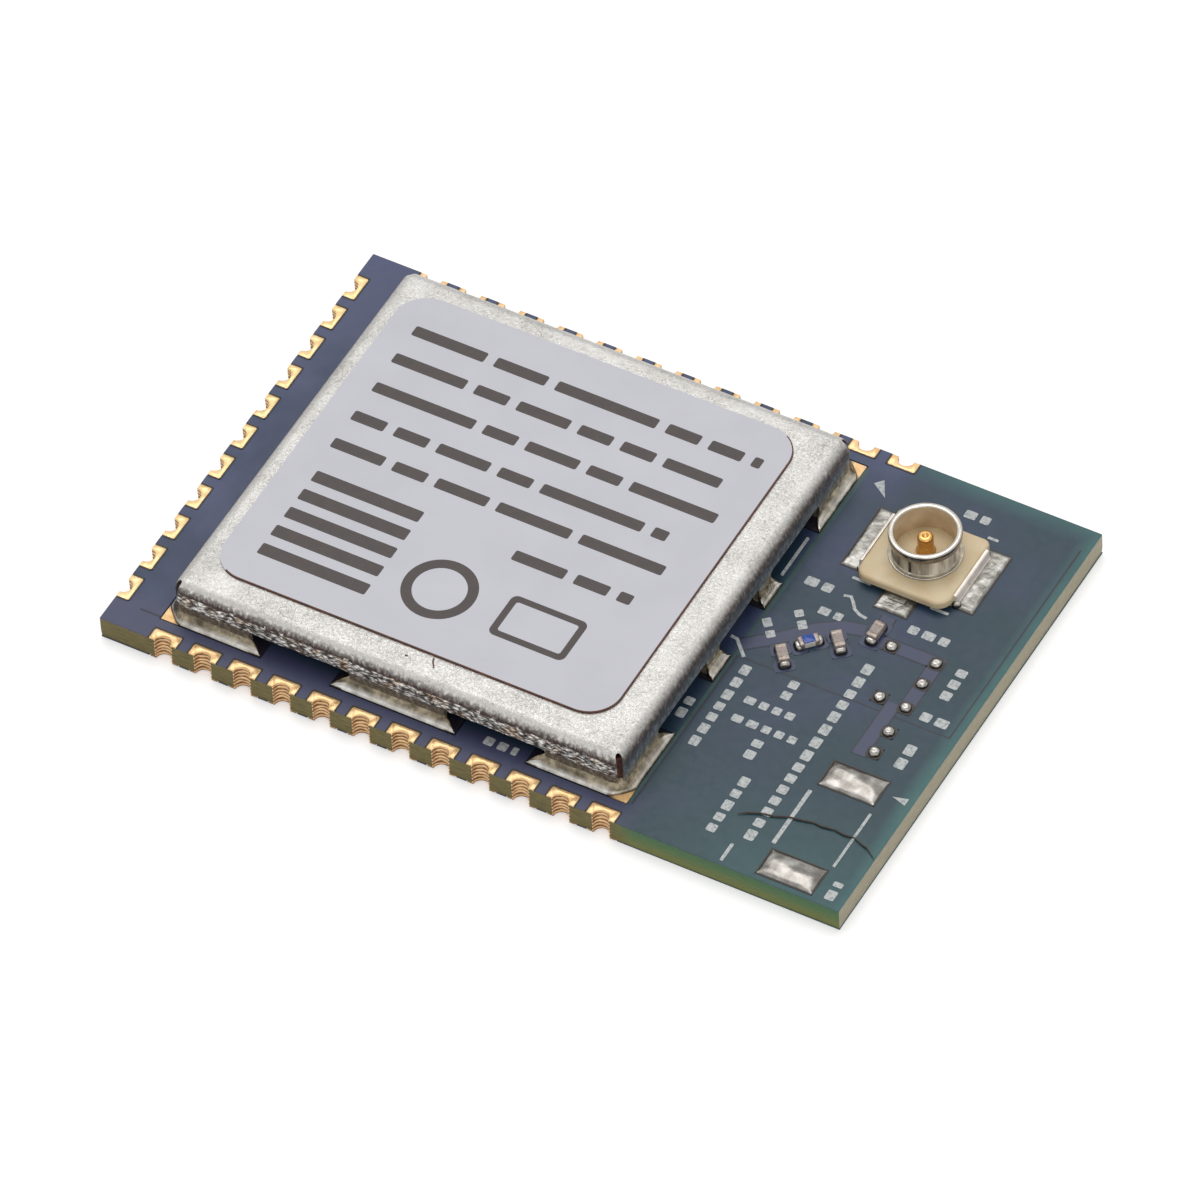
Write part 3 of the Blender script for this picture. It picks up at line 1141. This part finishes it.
def wing(side):
    """A wing's drop down the moulded base's side and its foot on the board."""
    face, drop, foot = INSULATOR_W / 2, INSULATOR_W / 2 + 0.09, INSULATOR_W / 2 + 0.12
    section = [(face, 0.0), (foot, 0.0), (foot, 0.06), (drop + 0.015, 0.08), (drop + 0.005, 0.2), (drop, 0.3)]
    section += arc((drop - 0.05, 0.31), 0.05, 0, 90, 5) + [(face, 0.36)]
    loops = []
    for y in (-WING_W / 2 - 0.1, -WING_W / 2 - 0.09, WING_W / 2 - 0.11, WING_W / 2 - 0.1):
        loops.append([(SOCKET_X + side * x, SOCKET_Y + y, BOARD_TOP + z) for x, z in section])
    return tube_of_loops(loops)


def make_ring():
    """The ring with its two wings; its neck has an upright seam on the near side."""
    inner, neck, lip_z = RING_R - RING_WALL, RING_R - LIP_OUT, RING_H - LIP_H
    plate, inside, on_wing, on_neck, flange, seam = range(6)

    def finish_of(middle, normal):
        """The finish that a face takes, by where it is."""
        out = Vector((middle.x - SOCKET_X, middle.y - SOCKET_Y))
        if abs(out.x) > INSULATOR_W / 2 - 0.02:
            return on_wing
        if out.length < inner + 0.01 and abs(normal.z) < 0.5:
            return inside
        from_seam = abs(math.degrees(math.atan2(out.y, out.x)) - SEAM_AT)
        if middle.z < BOARD_TOP + INSULATOR_H + 0.08:
            return flange if out.length < neck + 0.09 and from_seam > 2 * SEAM_HALF else plate
        if middle.z > BOARD_TOP + lip_z + 0.02:
            return plate
        return seam if from_seam < SEAM_HALF else on_neck

    piece("plated_ring", *merged([revolve(ring_profile(), AXIS, 128), wing(-1), wing(1)]),
          [silver_plate, silver_inside, silver_wing, silver_neck, silver_flange, seam_shadow],
          "socket_silver", "socket_shell", pick=finish_of, angle=32)


def make_insulator():
    """The moulded base: rounded corners and edges, standing on a smaller foot, and the ring's floor."""
    length, width, edge = INSULATOR_W, INSULATOR_FRONT + INSULATOR_BACK, 0.1
    centre = (SOCKET_X, SOCKET_Y + (INSULATOR_BACK - INSULATOR_FRONT) / 2)
    # how far each level is drawn in, and its height
    levels = [(0.2, 0.0), (0.2, INSULATOR_LIFT), (0.03, INSULATOR_LIFT), (0.0, INSULATOR_LIFT + 0.03)]
    for degrees in range(0, 91, 15):
        a = math.radians(degrees)
        levels.append((edge * (1 - math.cos(a)), INSULATOR_H - edge + edge * math.sin(a)))
    loops = []
    for drawn_in, z in levels:
        outline = []
        half_l, half_w = length / 2 - drawn_in, width / 2 - drawn_in
        # the back corners are sharper than the front ones
        for quarter, (sx, sy, r) in enumerate(((1, 1, 0.2), (-1, 1, 0.2), (-1, -1, 0.36), (1, -1, 0.42))):
            r -= drawn_in * 0.6
            outline += arc((centre[0] + sx * (half_l - r), centre[1] + sy * (half_w - r)), r,
                           90 * quarter, 90 * quarter + 90, 10)
        loops.append([(x, y, BOARD_TOP + z) for x, y in outline])
    floor_r, floor_low, floor_high = RING_R - RING_WALL + 0.01, 0.1, 0.43
    floor = revolve([(0, floor_low), (floor_r, floor_low), (floor_r, floor_high), (0, floor_high)], AXIS, 64)
    points, faces = merged([tube_of_loops(loops), floor])
    piece("moulded_base", points, faces, [socket_resin], "socket_resin", "socket_insulator", angle=40)


def make_pin():
    """The turned centre pin with its rounded, dimpled head and wider root, and its flat tail."""
    head, root = PIN_R * 0.45, PIN_R * 1.25
    profile = [(0, 0.35), (root, 0.35), (root, 0.47), (PIN_R, 0.6), (PIN_R, PIN_H - head)]
    profile += arc((PIN_R - head, PIN_H - head), head, 0, 80, 8)[1:]
    profile += [(PIN_R * 0.42, PIN_H - 0.002), (PIN_R * 0.34, PIN_H - 0.025), (PIN_R * 0.18, PIN_H - 0.055),
                (0, PIN_H - 0.062)]
    tail_half, tail_l, tail_h = 0.25, 1.68, 0.1
    tail = prism([(SOCKET_X - tail_half, SOCKET_Y - tail_l), (SOCKET_X + tail_half, SOCKET_Y - tail_l),
                  (SOCKET_X + tail_half, SOCKET_Y), (SOCKET_X - tail_half, SOCKET_Y)],
                 BOARD_TOP, BOARD_TOP + tail_h, 0.015)

    def tinned(middle, normal):
        """1 for the tail and 0 for the pin."""
        return 1 if middle.z < BOARD_TOP + 0.15 else 0

    piece("turned_pin", *merged([revolve(profile, AXIS, 64), tail]), [pin_gold, flat_tin],
          "socket_gold", "socket_centre_pin", pick=tinned, angle=40)


def wrinkled_plate(x0, x1, y0, y1, low, high, swing, seed):
    """A thin tin plate whose top is a wrinkled grid that dips at its edge."""
    columns, rows = max(8, round((x1 - x0) / 0.05)), max(8, round((y1 - y0) / 0.05))
    top = []
    for j in range(rows + 1):
        for i in range(columns + 1):
            x, y = x0 + (x1 - x0) * i / columns, y0 + (y1 - y0) * j / rows
            # the plate is about half as thick at its very edge
            edge = min(i, columns - i, j, rows - j) / 2
            z = high + swing * (wander(x, y, seed, 0.22) + 0.5 * wander(x, y, seed + 4, 0.09))
            top.append((x, y, low + (z - low) * min(1.0, 0.55 + edge)))
    return block_under(top, columns + 1, rows + 1, low)


def solder_mound(l, w, h, seed):
    """A low uneven mound of solder."""
    loops = []
    steps = 9
    for i in range(steps):
        t = i / (steps - 1)
        scale = math.cos(t * math.pi / 2 * 0.96) ** 0.7
        loops.append([(x * (1 + 0.1 * wander(x + seed, y, t, 0.2)), y, h * math.sin(t * math.pi / 2))
                      for x, y in rounded(l * scale, w * scale, 0.45 * min(l, w) * scale, 5)])
    return tube_of_loops(loops)


def make_socket_tin():
    """Flat, wrinkled solder over the socket's three lands, and a blob at the near end of each wing."""
    low = BOARD_TOP - 0.03
    parts = []
    for side in (-1, 1):
        x0, x1 = sorted((SOCKET_X + side * 1.0, SOCKET_X + side * 1.975))
        parts.append(wrinkled_plate(x0, x1, SOCKET_Y - 1.105, SOCKET_Y + 1.105, low, BOARD_TOP + 0.055, 0.014,
                                    3 + side))
    parts.append(wrinkled_plate(SOCKET_X - 0.485, SOCKET_X + 0.485, SOCKET_Y - 2.035, SOCKET_Y - 1.2, low,
                                BOARD_TOP + 0.06, 0.02, 9))
    piece("socket_tin", *merged(parts), [flat_tin], "solder", "socket_solder", angle=60)
    wing_x, wing_y = INSULATOR_W / 2, SOCKET_Y - WING_W / 2
    blobs = [placed(solder_mound(0.26, 0.2, 0.17, 4), 0.5, SOCKET_X + wing_x + 0.1, wing_y - 0.12),
             placed(solder_mound(0.2, 0.16, 0.1, 8), 1.2, SOCKET_X - wing_x - 0.07, wing_y - 0.1)]
    piece("wing_solder", *merged(blobs), [joint_solder], "solder", angle=60)


make_ring()
make_insulator()
make_pin()
make_socket_tin()

# ---------------------------------------------------------------- chips and bare pads

# each chip's place, its turn in degrees, and its length, width and height
CHIPS = {
    "resistor": (SOCKET_X - 1.39, SOCKET_Y - 3.99, 46, 0.57, 0.31, 0.22),
    "upper_chip": (SOCKET_X - 0.69, SOCKET_Y - 3.64, -49, 0.57, 0.31, 0.28),
    "lower_chip": (SOCKET_X - 1.78, SOCKET_Y - 4.74, -50, 0.57, 0.31, 0.28),
    "blocking_capacitor": (SOCKET_X + 0.05, SOCKET_Y - 2.91, 90, 0.57, 0.31, 0.28),
}


def soft_block(l, w, h, r, seed, lumps=0.0, lift=0.0, shift=0.0):
    """A block with rounded edges, a little uneven, centred on X and Y."""
    loops = []
    for drawn_in, z in ((r, 0), (r * 0.3, r * 0.3), (0, r), (0, h - r), (r * 0.3, h - r * 0.3), (r, h)):
        loop = []
        for x, y in rounded(l - 2 * drawn_in, w - 2 * drawn_in, r, 4):
            bump = lumps * wander(x + seed, y, z, 0.12)
            loop.append((shift + x * (1 + bump), y * (1 + bump), lift + z))
        loops.append(loop)
    return tube_of_loops(loops)


def make_chip(name, x, y, turn, l, w, h, body_finish, body_slot, nodes):
    """A chip's body, its plated ends and, on a resistor, its glaze."""
    turn = math.radians(turn)
    seed = x * 3
    core = placed(soft_block(l - 0.06, w - 0.02, h - 0.03, 0.02, seed, 0.02, 0.015), turn, x, y)
    piece(name + "_body", *core, [body_finish], body_slot, nodes[0])
    cap_l = 0.15
    caps = []
    for side in (-1, 1):
        cap = soft_block(cap_l, w, h, 0.03, seed + side, 0.06, 0, side * (l / 2 - cap_l / 2))
        caps.append(placed(cap, turn, x, y))
    piece(name + "_ends", *merged(caps), [chip_tin], "chip_tin", nodes[1], angle=50)
    if len(nodes) > 2:
        glaze = placed(soft_block(l - 0.24, w - 0.04, 0.03, 0.01, seed, 0, h - 0.012), turn, x, y)
        piece(name + "_glaze", *glaze, [blue_glaze], "resistor_glaze", nodes[2])


def make_chip_solder():
    """Solder mounds against the chips' ends."""
    parts = []
    for x, y, turn, l, w, h in CHIPS.values():
        a = math.radians(turn)
        for side in (-1, 1):
            cx, cy = x + math.cos(a) * side * l / 2, y + math.sin(a) * side * l / 2
            parts.append(placed(solder_mound(0.27, w + 0.06, h * 0.7, cx * 5 + cy), a, cx, cy))
    piece("chip_solder_mounds", *merged(parts), [joint_solder], "solder", "chip_solder", angle=60)


for chip, body, slot, nodes in (
    ("resistor", alumina, "chip_ceramic", ("resistor_core", "resistor_caps", "resistor_coat")),
    ("upper_chip", ceramic, "chip_ceramic", ("upper_chip_core", "upper_chip_caps")),
    ("lower_chip", ceramic, "chip_ceramic", ("lower_chip_core", "lower_chip_caps")),
    ("blocking_capacitor", ceramic, "chip_ceramic", ("blocking_capacitor_core", "blocking_capacitor_caps")),
):
    make_chip(chip, *CHIPS[chip], body, slot, nodes)
make_chip_solder()

# the small bare pads with a bump of solder on each; most stand in one line
BUMP_LINE_X = SOCKET_X + 1.965
BUMPS = [(SOCKET_X + 0.615, SOCKET_Y - 3.09), (BUMP_LINE_X, SOCKET_Y - 3.09), (BUMP_LINE_X, SOCKET_Y - 3.88),
         (SOCKET_X + 1.175, SOCKET_Y - 4.79), (BUMP_LINE_X, SOCKET_Y - 4.81), (BUMP_LINE_X, SOCKET_Y - 5.74),
         (BUMP_LINE_X, SOCKET_Y - 6.54)]
# the two large bare aerial pads, and their length and width
AERIAL_PADS = [(RIGHT - 1.745, -3.31), (RIGHT - 1.745, -6.73)]
AERIAL_L, AERIAL_W = 1.64, 0.9


def make_bumps():
    """Round bumps of solder with a small dimple, each a little different."""
    profile = [(0, 0), (0.165, 0.0), (0.168, 0.03), (0.155, 0.07), (0.125, 0.105), (0.085, 0.124),
               (0.045, 0.128), (0, 0.118)]
    parts = []
    for n, (x, y) in enumerate(BUMPS):
        points, faces = revolve(profile, (x, y, BOARD_TOP), 40)
        points = [(px + 0.025 * wander(px * 2, py, n, 0.12), py + 0.025 * wander(px, py * 2, n + 5, 0.12), pz)
                  for px, py, pz in points]
        parts.append((points, faces))
    piece("pad_solder_bumps", *merged(parts), [joint_solder], "solder", "solder_bumps", angle=70)


def make_aerial_solder():
    """Two soldered pads: a steep rim and a rolling, crested top."""
    columns, rows = 60, 34
    half_l, half_w = AERIAL_L / 2 - 0.012, AERIAL_W / 2 - 0.012
    parts = []
    for n, (cx, cy) in enumerate(AERIAL_PADS):
        top = []
        for j in range(rows + 1):
            for i in range(columns + 1):
                u, v = 2 * i / columns - 1, 2 * j / rows - 1
                x, y = u * half_l, v * half_w
                x *= 1 + 0.015 * wander(0, y, n, 0.3)
                y *= 1 + 0.03 * wander(x, 0, n, 0.3)
                # the crown falls off at the sides, and a crest winds along the pad
                crown = (1 - abs(u) ** 6) ** 0.7 * (1 - abs(v) ** 4) ** 0.8
                crest = math.exp(-(((v - 0.25 + 0.35 * math.sin(1.6 * u + n)) / 0.35) ** 2))
                roll = (0.72 + 0.24 * crest + 0.12 * wander(x, y * 0.6, n * 3, 0.5)
                        + 0.04 * wander(x, y, n, 0.2))
                top.append((cx + x, cy + y, BOARD_TOP + 0.004 + 0.122 * crown * roll))
        parts.append(block_under(top, columns + 1, rows + 1, BOARD_TOP))
    piece("aerial_pad_solder", *merged(parts), [pad_solder], "solder", "aerial_solder", angle=60)


make_bumps()
make_aerial_solder()

# ---------------------------------------------------------------- legend and copper relief


def make_legend():
    """The white legend: lines, small triangles and plain bars where a board has designators."""
    rng = random.Random(11)
    low, high = BOARD_TOP - 0.005, BOARD_TOP + 0.012
    # each straight line's length along X and Y, and its middle
    lines = [(0.12, 2.05, (8.57, -5.075)), (0.08, 2.05, (10.37, -5.075)), (0.1, 0.65, (7.63, -6.92)),
             (0.57, 0.09, (6.28, 3.0)), (0.55, 0.09, (8.63, 3.0)), (0.09, 1.5, (4.28, 2.95)),
             (0.32, 0.09, (8.71, 5.88))]
    outlines = [rounded(l, w, 0.03, 3, middle) for l, w, middle in lines]
    outlines += [[(10.6, -3.27), (11.03, -3.4), (11.03, -3.15)], [(4.92, 6.2), (5.43, 5.87), (5.12, 6.42)]]
    outlines.append(stroke([(6.1, 2.33), (6.3, 2.38), (6.45, 2.22), (6.6, 2.02), (6.8, 1.92), (7.03, 1.88)],
                           0.09))
    outlines.append(stroke([(4.1, -0.28), (4.3, -0.3), (4.77, -0.78)], 0.1))
    parts = [prism(outline, low, high) for outline in outlines]
    # the sides of each word's place, for words that read along X and for words that read along Y
    along_x = [(7.6, 8.35, 6.1, 6.65), (4.93, 6.05, 2.07, 2.67), (8.2, 9.4, 1.8, 2.37),
               (9.93, 10.95, -0.75, -0.15),
               (5.5, 7.25, -2.3, -1.8), (5.5, 7.55, -3.0, -2.5), (0.05, 1.05, -6.7, -6.15)]
    along_y = [(9.9, 10.5, 0.3, 1.45), (9.95, 10.55, -2.35, -1.2), (6.15, 6.7, -1.6, -0.65),
               (4.75, 5.3, -4.1, -0.95), (6.25, 6.85, -3.85, -3.15), (10.5, 11.05, -7.15, -6.5),
               (3.95, 4.5, -3.4, -2.65), (6.6, 7.15, -6.5, -4.4), (7.62, 8.2, -6.3, 0.7)]
    words = [((x0 + x1) / 2, (y0 + y1) / 2, 0, x1 - x0, y1 - y0) for x0, x1, y0, y1 in along_x]
    words += [((x0 + x1) / 2, (y0 + y1) / 2, 90, y1 - y0, x1 - x0) for x0, x1, y0, y1 in along_y]
    words += [(5.52, 1.02, -50, 0.8, 0.5), (6.1, 1.6, 0, 0.7, 0.52), (4.9, 0.38, -50, 0.8, 0.5)]
    for x, y, turn, l, w in words:
        for bar in bar_line(-l / 2, l / 2, -w / 2, w, (0.5, 0.62), 0.14, rng, low, high):
            parts.append(placed(bar, math.radians(turn), x, y, 0))
    piece("board_legend", *merged(parts), [legend_ink], "solder_mask")


def make_relief():
    """Copper tracks and the gaps beside them, seen as low steps under the mask."""
    low = BOARD_TOP - 0.004
    gaps = [[(10.97, 6.6), (10.97, -0.8), (4.7, -0.8)], [(4.6, -0.8), (4.6, -6.6)],
            [(-10.4, -6.6), (-9.8, -6.6)]]
    tracks = [[(4.45, -0.45), (5.3, 0.25), (6.0, 0.95), (6.6, 1.35), (7.2, 1.5)], [(7.7, 1.35), (9.65, 1.35)],
              [(9.45, 1.5), (9.45, -0.6)], [(9.1, -0.4), (9.1, -2.4)], [(7.55, 2.2), (7.55, 1.5)]]
    track_w, gap_w = 0.38, 0.06
    parts = [prism(stroke(line, gap_w), low, BOARD_TOP + 0.004) for line in gaps]
    parts += [prism(stroke(line, track_w + 0.09), low, BOARD_TOP + 0.003) for line in tracks]
    piece("copper_gaps", *merged(parts), [mask_in_gap], "solder_mask")
    # each track is a little higher than the one before, so that no two tops share a level
    parts = [prism(stroke(line, track_w), low, BOARD_TOP + 0.005 + 0.0007 * n)
             for n, line in enumerate(tracks)]
    # the raised lands under the chips, with the mask drawn up to them
    for x, y, turn, l, w, _ in CHIPS.values():
        a = math.radians(turn)
        for end in (-l / 2, l / 2):
            at = (x + end * math.cos(a), y + end * math.sin(a))
            parts.append(prism(rounded(0.42, w + 0.26, 0.1, 4, at, a), low, BOARD_TOP + 0.01))
    piece("copper_tracks", *merged(parts), [mask_over_track], "solder_mask")
    strip = prism([(4.47, -6.6), (4.6, -6.6), (4.6, 6.6), (4.47, 6.6)], low, BOARD_TOP + 0.001)
    piece("mask_beside_lands", *strip, [mask_over_laminate], "solder_mask")


def make_rims():
    """The mask's dark edge round every land, where it dips to the laminate."""
    low, high = BOARD_TOP - 0.004, BOARD_TOP + 0.011
    half, reach, chamfer = CONTACT_W / 2 + 0.02, TOP_LAND_D + 0.02, 0.05
    line = [(-half, 0.01), (-half, reach - chamfer), (chamfer - half, reach), (half - chamfer, reach),
            (half, reach - chamfer), (half, 0.01)]
    contact_rim = prism(stroke(line, 0.045), low, high)
    places = [(ROW_START + i * CONTACT_PITCH, NEAR, 0) for i in range(NEAR_CONTACTS)]
    places += [(ROW_START + i * CONTACT_PITCH, FAR, math.pi) for i in range(FAR_CONTACTS)]
    places += [(LEFT, END_START + i * CONTACT_PITCH, -math.pi / 2) for i in range(END_CONTACTS)]
    parts = [placed(contact_rim, turn, x, y, 0) for x, y, turn in places]
    lands = [(SOCKET_X + side * 1.4875, SOCKET_Y, 0.985, 2.22) for side in (-1, 1)]
    lands.append((SOCKET_X, SOCKET_Y - 1.62, 0.98, 0.84))
    lands += [(x, y, AERIAL_L, AERIAL_W) for x, y in AERIAL_PADS]
    for x, y, l, w in lands:
        outer = rounded(l + 0.07, w + 0.07, 0.04, 3, (x, y))
        parts.append(hollow(outer, rounded(l, w, 0.01, 3, (x, y)), low, high))
    for at in BUMPS:
        parts.append(hollow(rounded(0.43, 0.43, 0.12, 4, at), rounded(0.3, 0.3, 0.1, 4, at), low, high))
    piece("land_rims", *merged(parts), [land_rim], "solder_mask")


def make_fibre():
    """A stray dark fibre that lies across the aerial end, thinner at its tips."""
    line = [(7.25, -5.65), (7.5, -5.5), (7.8, -5.38), (8.15, -5.28), (8.5, -5.15), (8.85, -5.1), (9.2, -5.02),
            (9.45, -5.03), (9.8, -4.98), (10.1, -5.02), (10.4, -5.0), (10.65, -5.09), (10.85, -5.15),
            (11.2, -5.4)]
    sides = 8
    loops = []
    for i, (x, y) in enumerate(line):
        r = (0.024 + 0.01 * wander(x, y, 0, 0.3)) if 0 < i < len(line) - 1 else 0.01
        y += 0.05 * wander(x, 0, 7, 0.35)
        loop = []
        for k in range(sides):
            a = 2 * math.pi * k / sides
            loop.append((x, y + r * math.cos(a), BOARD_TOP + 0.04 + r * math.sin(a)))
        loops.append(loop)
    piece("stray_fibre", *tube_of_loops(loops), [fibre_dust], "solder_mask")


make_legend()
make_relief()
make_rims()
make_fibre()

# ---------------------------------------------------------------- finishes of the nodes that stay

for node, made in (
    ("top_solder_mask", solder_mask), ("under_solder_mask", solder_mask), ("ground_pad_land", immersion_gold),
    ("shield_lands", stained_gold), ("socket_lands", immersion_gold), ("chip_lands", mask_over_track),
    ("bump_lands", flux_stain), ("aerial_lands", flux_stain), ("radio_package", moulding_black),
    ("radio_terminals", flat_tin), ("radio_slug", flat_tin), ("crystal_base", filter_ceramic),
    ("crystal_lid", silver_plate), ("filter_core", filter_ceramic), ("filter_caps", chip_tin),
    ("inductor_cores", ferrite), ("inductor_caps", chip_tin), ("capacitor_cores", ceramic),
    ("capacitor_caps", chip_tin),
):
    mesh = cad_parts[node].data
    if not mesh.materials:
        mesh.materials.append(made)
    for i in range(len(mesh.materials)):
        mesh.materials[i] = made

# ---------------------------------------------------------------- floor, light and camera


FLOOR_SIZE, FLOOR_GAP, FLOOR_GLOW = 600, 0.02, 0.4
WORLD_LIGHT = 0.55
# in mm: the lens, where it stands and what it looks at
FOCAL_LENGTH = 440.05
CAMERA_AT = (136.567, -219.120, 294.720)
CAMERA_AIM = (0.385, -0.759, BOARD_TOP)
CAMERA_ROLL = math.radians(-3.734)


def seen_directly(tree):
    """1 for what the camera, a mirror or a glass shows, and 0 for the light itself."""
    light = add(tree, "ShaderNodeLightPath").outputs
    total = light["Is Camera Ray"]
    for name in ("Is Glossy Ray", "Is Transmission Ray"):
        total = add(tree, MATH, {0: total, 1: light[name]}, operation="MAXIMUM").outputs[0]
    return total


def make_floor():
    """A white sheet that is pure white to the camera, to gloss and to glass, with a faint shadow."""
    bpy.ops.mesh.primitive_plane_add(size=FLOOR_SIZE * MM, location=(0, 0, -FLOOR_GAP * MM))
    floor = bpy.context.object
    floor.name = "studio_floor"
    made, tree, shader, _ = finish("white_sheet", Base_Color="#e6e6e6", Roughness=0.9,
                                   Emission_Color="#ffffff")
    glow = add(tree, MATH, {0: seen_directly(tree), 1: FLOOR_GLOW}, operation="MULTIPLY")
    join(tree, glow, shader, "Emission Strength")
    floor.data.materials.append(made)


def make_light(name, at, size, power):
    """A soft square lamp that looks at the board; its place and size are in mm."""
    lamp = bpy.data.lights.new(name, "AREA")
    lamp.shape, lamp.size, lamp.energy = "SQUARE", size * MM, power
    made = bpy.data.objects.new(name, lamp)
    made.location = Vector(at) * MM
    made.rotation_mode = "QUATERNION"
    made.rotation_quaternion = (-Vector(at)).to_track_quat("-Z", "Y")
    bpy.context.collection.objects.link(made)


def make_world():
    """An even white surround, pure white where it is seen directly or in a mirror."""
    world = bpy.data.worlds.new("white_surround")
    world.use_nodes = True
    bpy.context.scene.world = world
    tree = world.node_tree
    tree.nodes.clear()
    strength = add(tree, RANGE, {"Value": seen_directly(tree), "To Min": WORLD_LIGHT, "To Max": 1.0})
    shade = add(tree, "ShaderNodeBackground", {"Color": "#ffffff", "Strength": strength})
    add(tree, "ShaderNodeOutputWorld", {"Surface": shade})


def make_camera():
    """A long lens that looks down at the board from its near right side."""
    lens = bpy.data.cameras.new("camera")
    lens.lens, lens.sensor_width = FOCAL_LENGTH, 36.0
    lens.clip_start, lens.clip_end = 0.01, 5.0
    camera = bpy.data.objects.new("camera", lens)
    camera.location = Vector(CAMERA_AT) * MM
    aim = Vector(CAMERA_AIM) * MM
    camera.rotation_mode = "QUATERNION"
    roll = Matrix.Rotation(CAMERA_ROLL, 3, "Z").to_quaternion()
    camera.rotation_quaternion = (aim - camera.location).to_track_quat("-Z", "Y") @ roll
    bpy.context.collection.objects.link(camera)
    bpy.context.scene.camera = camera


make_floor()
make_world()
make_camera()
make_light("key_above", (-100, 120, 420), 300, 0.75)
make_light("fill_front", (250, -250, 300), 250, 0.25)
bpy.context.scene.view_settings.view_transform = "Standard"
